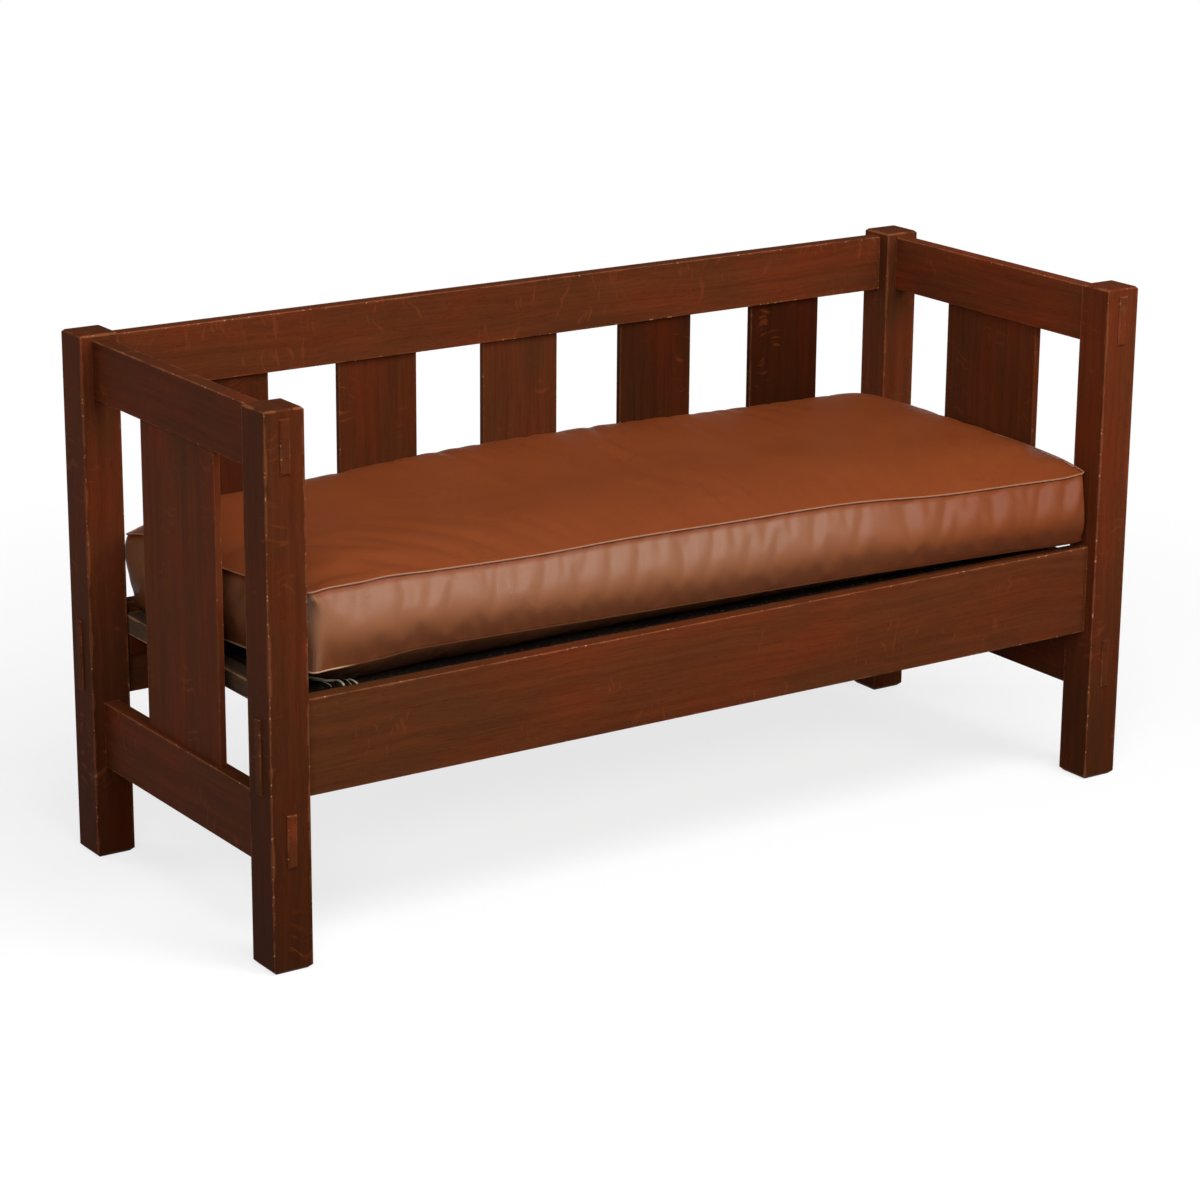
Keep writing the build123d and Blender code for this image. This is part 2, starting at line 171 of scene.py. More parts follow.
def cloud(tree, place, stretch, detail=2.0, roughness=0.5, out=0):
    """Noise whose blots are 1 / stretch metres long, one stretch for each axis."""
    scaled = vectors(tree, "MULTIPLY", place, stretch)
    settings = {"Vector": scaled, "Scale": 1.0, "Detail": detail, "Roughness": roughness}
    return put(tree, "TexNoise", settings, out)


def new_group(name, inputs, outputs):
    tree = bpy.data.node_groups.new(name, "ShaderNodeTree")
    for label, kind, value in inputs:
        socket = tree.interface.new_socket(label, in_out="INPUT", socket_type="NodeSocket" + kind)
        if value is not None:
            socket.default_value = value
    for label, kind in outputs:
        tree.interface.new_socket(label, in_out="OUTPUT", socket_type="NodeSocket" + kind)
    return tree, tree.nodes.new("NodeGroupInput").outputs, tree.nodes.new("NodeGroupOutput").inputs


def use_group(tree, group, inputs):
    node = tree.nodes.new("ShaderNodeGroup")
    node.node_tree = group
    fill(tree, node.inputs, inputs)
    return node.outputs


def new_finish(name, preview):
    """A material with a Principled shader; the preview colour is what a plain viewport shows."""
    material = bpy.data.materials.new(name)
    material.use_nodes = True
    material.diffuse_color = preview
    return material, material.node_tree, material.node_tree.nodes["Principled BSDF"]


def roughen(tree, shader, height, strength, depth):
    """Bends the light on a surface as if it rose and fell by the height, depth metres in all."""
    bump = put(tree, "Bump", {"Strength": strength, "Distance": depth, "Height": height})
    fill(tree, shader.inputs, {"Normal": bump})


print("node helpers ready")

# %% [markdown]
# ## The studio
#
# The settle stands on a white sweep. The floor keeps its soft shadow, and where the camera
# sees it, most of it is plain white. The lamps are large and soft: one at the front right,
# whose reflection is the long bright band on the cushion's front, one high in front, and a
# weaker one at the front left, which looks in past the left post. The weakest stands behind,
# off to the left, so that the back isn't black and the cushion's top doesn't mirror it. They
# add up to a plain level, so a colour renders as it is written.

# %% Floor and world
def seen_directly(tree):
    """1 for rays that show the background itself: to the eye, in a reflection, through glass."""
    rays = tree.nodes.new("ShaderNodeLightPath").outputs
    sight = plus(tree, rays["Is Camera Ray"], rays["Is Glossy Ray"])
    return put(tree, "Math", (sight, rays["Is Transmission Ray"]), operation="ADD", use_clamp=True)


bpy.ops.object.select_all(action="DESELECT")
bpy.ops.mesh.primitive_circle_add(vertices=96, radius=60, fill_type="NGON", location=(0, 0, 0))
floor = bpy.context.active_object
floor.name = "studio_floor"
floor_finish, tree, shader = new_finish("studio_white", (1, 1, 1, 1))
seen = seen_directly(tree)
tone = blend_colour(tree, seen, (0.25, 0.245, 0.24, 1), (0.94, 0.94, 0.94, 1))
matte = put(tree, "BsdfDiffuse", {"Color": tone})
white = put(tree, "Emission", {"Color": (1, 1, 1, 1), "Strength": 1.0})
reach = put(tree, "VectorMath", (put(tree, "TexCoord", out="Object"),), 1, operation="LENGTH")
plain = spread(tree, reach, 0.9, 2.1, 0.74, 1.0)
sweep = put(tree, "MixShader", (times(tree, seen, plain), matte, white))
under = tree.nodes.new("ShaderNodeNewGeometry").outputs["Backfacing"]
sweep = put(tree, "MixShader", (under, sweep, put(tree, "BsdfTransparent")))
fill(tree, tree.nodes["Material Output"].inputs, {"Surface": sweep})
tree.nodes.remove(shader)
floor.data.materials.append(floor_finish)

world = bpy.data.worlds.new("studio_world")
world.use_nodes = True
scene.world = world
tree = world.node_tree
seen = seen_directly(tree)
height = split(tree, put(tree, "TexCoord", out="Generated"))["Z"]
ceiling = spread(tree, height, 0.0, 0.10, 1.0, 0.05)
camera_ray = tree.nodes.new("ShaderNodeLightPath").outputs["Is Camera Ray"]
sky = blend_value(tree, camera_ray, ceiling, 1.0)
level = blend_value(tree, seen, 0.15, sky)
fill(tree, tree.nodes["Background"].inputs, {"Color": (1, 1, 1, 1), "Strength": level})
print("floor and world ready")

# %% Lamps
def softbox(name, place, target, size, power):
    lamp = bpy.data.lights.new(name, "AREA")
    lamp.shape, lamp.size, lamp.size_y, lamp.energy = "RECTANGLE", *size, power
    holder = bpy.data.objects.new(name, lamp)
    scene.collection.objects.link(holder)
    holder.location = place
    holder.rotation_euler = (Vector(target) - Vector(place)).to_track_quat("-Z", "Y").to_euler()
    print(name, "of", size, "m at", place)


softbox("right_softbox", (1.8, -4.3, 2.6), (0, 0, 0.45), (2.6, 0.8), 108)
softbox("high_softbox", (-0.2, -2.2, 3.7), (0, 0, 0.4), (3.0, 1.6), 135)
softbox("left_softbox", (-3.3, -3.5, 2.3), (0, 0, 0.4), (1.6, 1.6), 80)
softbox("back_softbox", (-3.0, 3.7, 2.1), (0, 0, 0.4), (2.4, 1.4), 55)

# %% [markdown]
# ## Oak, board by board
#
# Quartersawn oak that was darkened with ammonia fumes and waxed. Seen close it has four
# marks: broad patches that drift from olive brown to red brown, fine streaks along the
# grain, short dark pores, and rays, the small lighter strokes across the grain that only
# quartersawn boards show. One picture stretched over everything would repeat on each board,
# so the marks are worked out from the place inside the piece, with its own offset. One
# shader group makes the marks as values, and each wood on the settle then colours them.

# %% Board marks
board_marks, given, result = new_group(
    "Board marks",
    [("Place", "Vector", None)],
    [("Patches", "Float"), ("Streaks", "Float"), ("Pores", "Float"), ("Rays", "Float")],
)
tree = board_marks
place = given["Place"]
drift = vectors(tree, "SUBTRACT", cloud(tree, place, (5, 9, 9), 2.0, out=1), (0.5, 0.5, 0.5))
wavy = vectors(tree, "ADD", place, vectors(tree, "MULTIPLY", drift, (0.0, 0.022, 0.022)))
patches = cloud(tree, place, (4.5, 13, 13), 4.0, 0.58)
broad = cloud(tree, wavy, (2.2, 95, 95), 3.0, 0.6)
fine = cloud(tree, wavy, (7, 420, 420), 2.0, 0.6)
streaks = plus(tree, times(tree, broad, 0.6), times(tree, fine, 0.4))
pores = spread(tree, cloud(tree, wavy, (70, 1500, 1500), 1.0), 0.60, 0.70)
slant = vectors(tree, "SUBTRACT", cloud(tree, place, (16, 22, 22), 1.0, out=1), (0.5, 0.5, 0.5))
tilted = vectors(tree, "ADD", place, vectors(tree, "MULTIPLY", slant, (0.055, 0.01, 0.01)))
strokes = spread(tree, cloud(tree, tilted, (175, 34, 34), 1.0, 0.4), 0.60, 0.70)
shoal = spread(tree, cloud(tree, place, (7, 15, 15), 1.0), 0.50, 0.62)
rays = times(tree, strokes, shoal)
fill(tree, result, {"Patches": patches, "Streaks": streaks, "Pores": pores, "Rays": rays})
print("group", tree.name, "has", len(tree.nodes), "nodes")

# %% [markdown]
# ## Worn edges
#
# Hands, trousers and dusters rub the finish off sharp edges first, so the arrises of the
# rails and the tops of the posts show as thin lighter lines. Blender can find edges from the
# mesh, but these boards are true boxes, so the distance to the nearest edge is exact: on a
# box's surface it is the middle one of the three distances to its sides. A rail has a second
# box for its tenons, which count only where they leave the rail's own body.

# %% Distance to the nearest edge
edge_distance, given, result = new_group(
    "Edge distance",
    [("Place", "Vector", None), ("Low", "Vector", None), ("High", "Vector", None),
     ("Tenon Low", "Vector", None), ("Tenon High", "Vector", None)],
    [("Distance", "Float")],
)
tree = edge_distance


def middle_of_three(tree, place, low, high):
    inside = vectors(
        tree, "MINIMUM", vectors(tree, "SUBTRACT", place, low), vectors(tree, "SUBTRACT", high, place)
    )
    x, y, z = split(tree, inside)
    least, most = sums(tree, "MINIMUM", x, y), sums(tree, "MAXIMUM", x, y)
    return sums(tree, "MAXIMUM", least, sums(tree, "MINIMUM", most, z)), sums(tree, "MINIMUM", least, z)


body_edge, body_depth = middle_of_three(tree, given["Place"], given["Low"], given["High"])
tenon_edge, _ = middle_of_three(tree, given["Place"], given["Tenon Low"], given["Tenon High"])
beyond = sums(tree, "LESS_THAN", body_depth, -0.03)
fill(tree, result, {"Distance": blend_value(tree, beyond, body_edge, tenon_edge)})
print("group", tree.name, "has", len(tree.nodes), "nodes")

# %% Rubbed edges and chips
edge_wear, given, result = new_group(
    "Rubbed edges",
    [("Place", "Vector", None), ("Distance", "Float", 1.0), ("Width", "Float", 0.0022),
     ("Amount", "Float", 1.0), ("Up", "Float", 0.5)],
    [("Wear", "Float"), ("Chips", "Float")],
)
tree = edge_wear
uneven = cloud(tree, given["Place"], (26, 26, 26), 4.0, 0.65)
reach = times(tree, given["Width"], spread(tree, uneven, 0.34, 0.66, 0.25, 1.5))
rub = sums(tree, "DIVIDE", given["Distance"], reach)
rub = spread(tree, rub, 0.35, 1.0, 1.0, 0.0)
facing = spread(tree, given["Up"], -0.2, 0.6, 0.55, 1.0)
wear = times(tree, times(tree, rub, facing), given["Amount"])
specks = spread(tree, cloud(tree, given["Place"], (210, 210, 210), 1.0), 0.66, 0.72)
near = spread(tree, given["Distance"], 0.0008, 0.0030, 1.0, 0.0)
chips = times(tree, times(tree, specks, near), given["Amount"])
fill(tree, result, {"Wear": wear, "Chips": chips})
print("group", tree.name, "has", len(tree.nodes), "nodes")

# %% [markdown]
# ## Fumed colour
#
# The four marks and the wear become a colour, a roughness and a height. Pores are dark and
# sunk, rays are a little lighter and shinier, and a rubbed edge shows the tan of the wood
# under the fumed skin. Each board is painted darker towards the floor over its lowest half
# metre: grime from mopping at the feet, and painted shade above them.

# %% Fumed oak colour
fumed_colour, given, result = new_group(
    "Fumed oak colour",
    [("Place", "Vector", None), ("Patches", "Float", 0.5), ("Streaks", "Float", 0.5),
     ("Pores", "Float", 0.0), ("Rays", "Float", 0.0), ("Wear", "Float", 0.0),
     ("Chips", "Float", 0.0), ("Depth", "Float", 1.0), ("Redness", "Float", 0.0)],
    [("Colour", "Color"), ("Roughness", "Float"), ("Height", "Float")],
)
tree = fumed_colour
drift = plus(tree, given["Patches"], given["Redness"])
ramp = tree.nodes.new("ShaderNodeValToRGB")
for stop, colour in zip((0.30, 0.50, 0.70), (srgb(84, 46, 25), srgb(94, 47, 25), srgb(106, 46, 23))):
    element = ramp.color_ramp.elements.new(stop)
    element.color = colour
ramp.color_ramp.elements.remove(ramp.color_ramp.elements[0])
ramp.color_ramp.elements.remove(ramp.color_ramp.elements[-1])
tree.links.new(drift, ramp.inputs[0])
streak_tone = spread(tree, given["Streaks"], 0.32, 0.68, 0.84, 1.14)
# Painted shade, with mopping grime at the feet: each board is darker towards the floor.
floor_grime_and_shade = spread(tree, split(tree, given["Place"])["Z"], 0.0, 0.50, 0.64, 1.0)
# Depth darkens a whole board; for the back slats, the back left post and the ledgers it is painted shade.
tone = times(tree, times(tree, streak_tone, given["Depth"]), floor_grime_and_shade)
shade = same_three(tree, tone)
colour = blend_colour(tree, 1.0, ramp.outputs[0], shade, "MULTIPLY")
colour = blend_colour(tree, times(tree, given["Pores"], 0.35), colour, srgb(40, 20, 12))
colour = blend_colour(tree, times(tree, given["Rays"], 0.22), colour, srgb(132, 64, 32))
colour = blend_colour(tree, times(tree, given["Wear"], 0.42), colour, srgb(150, 88, 56))
colour = blend_colour(tree, times(tree, given["Chips"], 0.58), colour, srgb(190, 142, 108))
rough = plus(tree, times(tree, given["Streaks"], 0.12), 0.40)
rough = minus(tree, rough, times(tree, given["Rays"], 0.08))
rough = plus(tree, rough, times(tree, given["Chips"], 0.2))
height = minus(tree, times(tree, given["Streaks"], 0.5), given["Pores"])
height = minus(tree, height, times(tree, given["Chips"], 1.6))
fill(tree, result, {"Colour": colour, "Roughness": rough, "Height": height})
print("group", tree.name, "has", len(tree.nodes), "nodes")

# %% [markdown]
# ## One oak material for each board
#
# Each board is cut from its own plank, so each node of the frame gets its own material from
# the same groups: the Mapping node turns the board's length to the group's X and moves it to
# its own part of the pattern. The sizes of the box that the edges are measured from come
# from the CAD node itself.

# %% A board's finish
TURNS = {"x": (0, 0, 0), "y": (0, 0, math.pi / 2), "z": (0, math.pi / 2, 0)}
dice = random.Random(1908)


def dress(node, material):
    """Gives a CAD piece a new material in place of its plain one."""
    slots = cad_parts[node].data.materials
    slots.clear()
    slots.append(material)


def board_finish(kind, preview, node, grain, body, tenon):
    """A board's own material, its place, its marks and each place's distance from an edge."""
    material, tree, shader = new_finish(kind + node, preview)
    place = put(tree, "TexCoord", out="Object")
    offset = [dice.uniform(-9, 9) for _ in range(3)]
    along = put(tree, "Mapping", {"Vector": place, "Location": offset, "Rotation": TURNS[grain]})
    marks = use_group(tree, board_marks, {"Place": along})
    (body_low, body_high), (tenon_low, tenon_high) = body, tenon
    distance = use_group(tree, edge_distance, {
        "Place": place, "Low": body_low, "High": body_high,
        "Tenon Low": tenon_low, "Tenon High": tenon_high,
    })["Distance"]
    dress(node, material)
    return tree, shader, place, marks, distance


print("boards can run along", ", ".join(TURNS))

# %% Fumed oak on a board
def oak_board(node, grain, body=None, tenon=None, depth=1.0, redness=0.0, rays=1.0, wear=1.0,
              edge=0.0022, olive_left=False):
    """Fumed oak, with rubbed edges that are edge wide, and less red at the left if olive_left."""
    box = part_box(node)
    tree, shader, place, marks, distance = board_finish(
        "oak_", srgb(95, 47, 25), node, grain, body or box, tenon or box)
    up = split(tree, put(tree, "NewGeometry", out="Normal"))["Z"]
    edges = use_group(tree, edge_wear, {
        "Place": place, "Distance": distance, "Width": edge, "Amount": wear, "Up": up,
    })
    if olive_left:
        redness = spread(tree, split(tree, place)["X"], -0.55, -0.20, -0.22, redness)
    look = use_group(tree, fumed_colour, {
        "Place": place, "Patches": marks["Patches"], "Streaks": marks["Streaks"],
        "Pores": marks["Pores"], "Rays": times(tree, marks["Rays"], rays),
        "Wear": edges["Wear"], "Chips": edges["Chips"], "Depth": depth, "Redness": redness,
    })
    fill(tree, shader.inputs, {
        "Base Color": look["Colour"], "Roughness": look["Roughness"],
        "Specular IOR Level": 0.01, "Specular Tint": (0.85, 0.52, 0.34, 1),
    })
    roughen(tree, shader, look["Height"], 0.45, 0.0004)


print("fumed oak ready")

# %% [markdown]
# ## Rails and their tenons
#
# A rail's own body ends where the posts begin. Only a thinner bar goes on into them, its
# tenon, and most tenons come out 3 mm proud on the other side. So that both get their rubbed
# edges, a rail has two boxes. The CAD node gives the whole length and height, and what the
# joiner cut away at the shoulders is taken off again for the tenon.

# %% Rails and tenons
POST, TENON_PROUD = 0.057, 0.003
INNER_X, INNER_Y = cad_high.x - TENON_PROUD - POST, cad_high.y - TENON_PROUD - POST
PLAIN_SHOULDER = 0.0045
SHOULDERS = {
    "front_seat_rail": (0.0115, 0.0175), "back_seat_rail": (0.0115, 0.0175),
    "side_low_rail_left": (0.011, 0.011), "side_low_rail_right": (0.011, 0.011),
}


def rail_boxes(node, grain):
    """The low and high corners of a rail's own body, and of the bar that its tenons are."""
    low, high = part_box(node)
    body_low, body_high, tenon_low, tenon_high = low.copy(), high.copy(), low.copy(), high.copy()
    axis, across, stop = (0, 1, INNER_X) if grain == "x" else (1, 0, INNER_Y)
    body_low[axis], body_high[axis] = -stop, stop
    tenon_low[across] += PLAIN_SHOULDER
    tenon_high[across] -= PLAIN_SHOULDER
    below, above = SHOULDERS.get(node, (PLAIN_SHOULDER, PLAIN_SHOULDER))
    tenon_low.z += below
    tenon_high.z -= above
    return (body_low, body_high), (tenon_low, tenon_high)


print("posts stand", round(2 * INNER_X, 4), "m apart inside, and", round(2 * INNER_Y, 4), "m deep")

# %% [markdown]
# ## Every board
#
# No two boards took the fumes alike, so each has its own depth, where less is darker, and
# some are redder or show more rays. Depth also paints shade: the back slats darker towards
# the right, behind the cushion, the back left post darker, and the ledgers under the seat
# darkest. The posts are rubbed widest, the slats less, and the ledgers under the seat, which
# nobody touches, hardly at all.

# %% Boards
# Painted shade in depth: the back slats darken towards the right, and post_back_left is darker.
board_settings = {
    "post_front_left": dict(depth=0.64), "post_front_right": dict(depth=0.84, redness=0.04),
    "post_back_left": dict(depth=0.68), "post_back_right": dict(depth=0.86),
    "front_seat_rail": dict(depth=0.98, olive_left=True), "back_seat_rail": dict(depth=0.90),
    "back_top_rail": dict(depth=0.84, redness=0.02), "back_slat_1": dict(depth=0.54, rays=0.8),
    "back_slat_2": dict(depth=0.63, rays=2.2, redness=0.03),
    "back_slat_3": dict(depth=0.75, redness=0.02),
    "back_slat_4": dict(depth=0.39), "back_slat_5": dict(depth=0.28),
    "side_slat_left": dict(depth=0.92, redness=0.05),
    "side_slat_right": dict(depth=0.90, redness=0.05),
    "side_top_rail_left": dict(depth=0.72, redness=0.05),
    "side_top_rail_right": dict(depth=1.0, redness=0.08),
}
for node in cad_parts:
    if node.startswith("post_"):
        oak_board(node, "z", edge=0.004, **board_settings[node])
    elif node.startswith(("back_slat_", "side_slat_")):
        oak_board(node, "z", wear=0.6, **board_settings[node])
    elif node.startswith("ledger_") and node != "ledger_screws":
        # depth 0.42 paints the ledgers dark, as shade under the seat.
        oak_board(node, "x", depth=0.42, wear=0.15)
    elif node.endswith("_rail") or "_rail_" in node:
        grain = "y" if node.startswith("side_") else "x"
        body, tenon = rail_boxes(node, grain)
        oak_board(node, grain, body, tenon, **board_settings.get(node, {}))
print("oak boards:", sum(m.name.startswith("oak_") for m in bpy.data.materials))

# %% [markdown]
# ## Plain wood under the seat
#
# The drop-in seat frame is hidden under the cushion, so the maker left it raw: greyed oak
# with paler sawn edges. The same board marks serve, with duller colours, no rays and a drier
# surface.

# %% Raw wood
raw_colour, given, result = new_group(
    "Raw wood colour",
    [("Patches", "Float", 0.5), ("Streaks", "Float", 0.5), ("Pores", "Float", 0.0),
     ("Wear", "Float", 0.0)],
    [("Colour", "Color"), ("Roughness", "Float"), ("Height", "Float")],
)
tree = raw_colour
colour = blend_colour(
    tree, spread(tree, given["Patches"], 0.32, 0.68), srgb(84, 66, 52), srgb(104, 80, 60)
)
tone = spread(tree, given["Streaks"], 0.3, 0.7, 0.74, 1.16)
colour = blend_colour(tree, 1.0, colour, same_three(tree, tone), "MULTIPLY")
colour = blend_colour(tree, times(tree, given["Pores"], 0.5), colour, srgb(44, 32, 24))
colour = blend_colour(tree, times(tree, given["Wear"], 0.85), colour, srgb(176, 128, 88))
rough = spread(tree, given["Streaks"], 0.3, 0.7, 0.78, 0.68)
height = minus(tree, given["Streaks"], given["Pores"])
fill(tree, result, {"Colour": colour, "Roughness": rough, "Height": height})


def raw_board(node, grain):
    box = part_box(node)
    tree, shader, place, marks, distance = board_finish(
        "raw_", srgb(100, 78, 60), node, grain, box, box)
    edges = use_group(tree, edge_wear, {"Place": place, "Distance": distance, "Width": 0.0026})
    look = use_group(tree, raw_colour, {
        "Patches": marks["Patches"], "Streaks": marks["Streaks"], "Pores": marks["Pores"],
        "Wear": edges["Wear"],
    })
    fill(tree, shader.inputs, {
        "Base Color": look["Colour"], "Roughness": look["Roughness"], "Specular IOR Level": 0.12,
    })
    roughen(tree, shader, look["Height"], 0.6, 0.0006)


for node, grain in (
    ("seat_frame_front", "x"), ("seat_frame_back", "x"), ("seat_frame_left", "y"),
    ("seat_frame_right", "y"), ("seat_frame_brace", "y"),
):
    raw_board(node, grain)
print("raw boards:", sum(m.name.startswith("raw_") for m in bpy.data.materials))

# %% [markdown]
# ## Steel
#
# The tack heads are blued steel, dull and nearly black, and the ledgers' slotted screws are
# plain steel gone brown. Both are metal, so their colour is the colour of their reflection,
# and a cloudy roughness keeps them from looking like chrome.

# %% Steel finishes
def steel_finish(name, bright, dull, roughness):
    material, tree, shader = new_finish(name, bright)
    place = put(tree, "TexCoord", out="Object")
    stain = spread(tree, cloud(tree, place, (180, 180, 180), 4.0, 0.6), 0.38, 0.62)
    fill(tree, shader.inputs, {
        "Base Color": blend_colour(tree, stain, dull, bright), "Metallic": 0.9,
        "Roughness": blend_value(tree, stain, roughness + 0.25, roughness),
    })
    roughen(tree, shader, cloud(tree, place, (900, 900, 900), 2.0), 0.3, 0.0002)
    return material


screw_finish = steel_finish("browned_screw_steel", srgb(150, 132, 112), srgb(86, 58, 38), 0.42)
tack_finish = steel_finish("blued_tack_steel", srgb(74, 66, 60), srgb(34, 28, 25), 0.38)
dress("ledger_screws", screw_finish)
print("steel finishes:", screw_finish.name, tack_finish.name)

# %% [markdown]
# ## A plain weave
#
# Jute webbing and the black seat cloth are both plain weaves: every thread goes over one
# and under the next. The group works the threads out from a flat place in metres, so the
# same nodes serve both at their own pitch. The flat place is each sheet's own UV map, laid
# out in metres as it was cut, so the weave follows every bend and fold.

# %% Plain weave
plain_weave, given, result = new_group(
    "Plain weave",
    [("Place", "Vector", None), ("Pitch", "Float", 0.001)],
    [("Height", "Float"), ("Thread", "Float")],
)
tree = plain_weave
pitches = same_three(tree, given["Pitch"])
across, along, _ = split(tree, vectors(tree, "DIVIDE", given["Place"], pitches))


def thread_height(tree, own, other, up):
    """Round across its own width, and up over one thread and down under the next along its run."""
    middle = minus(tree, sums(tree, "FRACT", own), 0.5)
    crown = minus(tree, 1.0, times(tree, sums(tree, "POWER", middle, 2.0), 4.0))
    turn = times(tree, plus(tree, other, sums(tree, "FLOOR", own)), math.pi)
    swing = plus(tree, times(tree, sums(tree, "SINE", turn), 0.45 * up), 0.55)
    return times(tree, crown, swing)


warp = thread_height(tree, along, across, 1)
weft = thread_height(tree, across, along, -1)
which = sums(tree, "GREATER_THAN", warp, weft)
next_along = plus(tree, sums(tree, "FLOOR", along), 0.37)
number = blend_value(tree, which, sums(tree, "FLOOR", across), next_along)
fill(tree, result, {
    "Height": sums(tree, "MAXIMUM", warp, weft),
    "Thread": put(tree, "TexWhiteNoise", {"W": number}, noise_dimensions="1D"),
})
print("group", tree.name, "has", len(tree.nodes), "nodes")

# %% [markdown]
# ## Jute and black cloth
#
# Jute is a hard, hairy, straw-coloured thread, woven 2 mm apart, with a dark red line near
# each edge of the strip. The cloth over it is a thin cotton, dyed black but gone brownish,
# and dusty after a century. In both, the hollows between the threads are painted dark, as
# shade.

# %% Woven finishes
def woven_finish(name, preview, pitch, low, high, hollow, dust, line=None):
    material, tree, shader = new_finish(name, preview)
    flat = put(tree, "UVMap")
    weave = use_group(tree, plain_weave, {"Place": flat, "Pitch": pitch})
    colour = blend_colour(tree, weave["Thread"], low, high)
    if line:
        side = sums(tree, "ABSOLUTE", split(tree, flat)["Y"])
        band = sums(tree, "COMPARE", side, 0.033, 0.003)
        colour = blend_colour(tree, times(tree, band, 0.8), colour, line)
    place = put(tree, "TexCoord", out="Object")
    grime = spread(tree, cloud(tree, place, (9, 9, 9), 4.0, 0.6), 0.40, 0.66)
    colour = blend_colour(tree, times(tree, grime, 0.5), colour, dust)
    # Painted shade: the hollows between the threads are darkened towards the hollow colour.
    thread_gap_shade = spread(tree, weave["Height"], 0.1, 0.6, 0.8, 0.0)
    colour = blend_colour(tree, thread_gap_shade, colour, hollow)
    fill(tree, shader.inputs, {
        "Base Color": colour, "Specular IOR Level": 0.1,
        "Roughness": spread(tree, weave["Height"], 0.0, 1.0, 0.98, 0.84),
    })
    roughen(tree, shader, weave["Height"], 0.7, pitch * 0.35)
    return material


jute = woven_finish(
    "jute_webbing", srgb(172, 146, 104), 0.0021, srgb(150, 124, 86), srgb(190, 164, 120),
    srgb(84, 64, 42), srgb(140, 120, 92), line=srgb(112, 44, 34),
)
black_cotton = woven_finish(
    "black_seat_cloth", srgb(30, 21, 16), 0.0009, srgb(22, 15, 11), srgb(38, 26, 19),
    srgb(10, 7, 5), srgb(52, 38, 29),
)
print("woven finishes:", jute.name, black_cotton.name)

# %% [markdown]
# ## Sheets of cloth
#
# A sheet is a grid of points. Each point's place comes from where it is on the flat cut, and
# that same flat place is stored as its UV. Solidify then gives it the cloth's thickness. A
# cloth simulation isn't needed for a stretched sheet: it is tacked all round and lies as a
# taut skin that dips a little between what it rests on.

# %% Sheet helper
def new_piece(name, mesh, body, finish):
    piece = bpy.data.objects.new(name, mesh)
    scene.collection.objects.link(piece)
    mesh.materials.append(finish)
    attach(piece, body)
    return piece


def apply_modifiers(piece):
    """Turns what the modifiers show into the piece's own mesh."""
    shown = piece.evaluated_get(bpy.context.evaluated_depsgraph_get())
    made = bpy.data.meshes.new_from_object(shown)
    piece.modifiers.clear()
    old, piece.data = piece.data, made
    bpy.data.meshes.remove(old)
    made.name = piece.name


def sheet_piece(name, place, across, along, thickness, body, finish):
    """A grid over the flat cut's stations, across and along it, both in metres."""
    points = [place(a, b) for b in along for a in across]
    width = len(across)
    faces = [
        (i + j * width, i + 1 + j * width, i + 1 + (j + 1) * width, i + (j + 1) * width)
        for j in range(len(along) - 1) for i in range(width - 1)
    ]
    mesh = bpy.data.meshes.new(name)
    mesh.from_pydata(points, [], faces)
    flat = mesh.uv_layers.new(name="flat_cut")
    for corner, loop in zip(flat.data, mesh.loops):
        corner.uv = (along[loop.vertex_index // width], across[loop.vertex_index % width])
    mesh.polygons.foreach_set("use_smooth", [True] * len(mesh.polygons))
    piece = new_piece(name, mesh, body, finish)
    skin = piece.modifiers.new("thickness", "SOLIDIFY")
    skin.thickness, skin.offset = thickness, 0.0
    apply_modifiers(piece)
    return piece


def stations(low, high, step):
    count = max(1, round((high - low) / step))
    return [low + (high - low) * i / count for i in range(count + 1)]


print("sheet helper ready")

# %% [markdown]
# ## Jute webbing
#
# Three strips run along the seat frame and ten across it, laced over and under by turns and
# tacked at their ends. On the CAD model they step up and down in straight runs. Here each
# strip eases from one level to the other between crossings, and the whole web sags a few
# millimetres in the middle of the opening, where a century of sitting has stretched it.

# %% Webbing
def edge_of(node, end, axis):
    """The low or high side of a CAD piece's box on one axis, to the nearest micron."""
    low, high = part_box(node)
    return round(getattr(high if end == "high" else low, axis), 6)


def middle_of(node, axis):
    return round((edge_of(node, "low", axis) + edge_of(node, "high", axis)) / 2, 6)


FRAME_TOP, OPEN_X = edge_of("seat_frame_left", "high", "z"), edge_of("seat_frame_right", "low", "x")
OPEN_LOW_Y = edge_of("seat_frame_front", "high", "y")
OPEN_HIGH_Y = edge_of("seat_frame_back", "low", "y")
WEB_THICK, WEB_SKIN, WEB_HALF, WEB_CLEAR, WEB_CUP = 0.0016, 0.001536, 0.0445, 0.00012, 0.0002
ACROSS_STEP, ALONG_STEP, COLUMN_PITCH, SAG = 0.015, 0.0055, 0.1126, 0.0026
LEVEL_RUN, LEVEL_RISE = 0.0132, 0.001648
ROWS = [middle_of(f"webbing_long_{number}", "y") for number in (1, 2, 3)]
COLUMNS = [COLUMN_PITCH * (i - 4.5) for i in range(10)]


def ease(t):
    t = max(0.0, min(1.0, t))
    return t * t * (3 - 2 * t)


def sag(x, y):
    """How far the web hangs at a place of the opening: not at all at its edge or outside it."""
    middle, half = (OPEN_LOW_Y + OPEN_HIGH_Y) / 2, (OPEN_HIGH_Y - OPEN_LOW_Y) / 2
    across, along = 1 - ((y - middle) / half) ** 2, 1 - (x / OPEN_X) ** 4
    return SAG * max(0.0, across) * max(0.0, along)


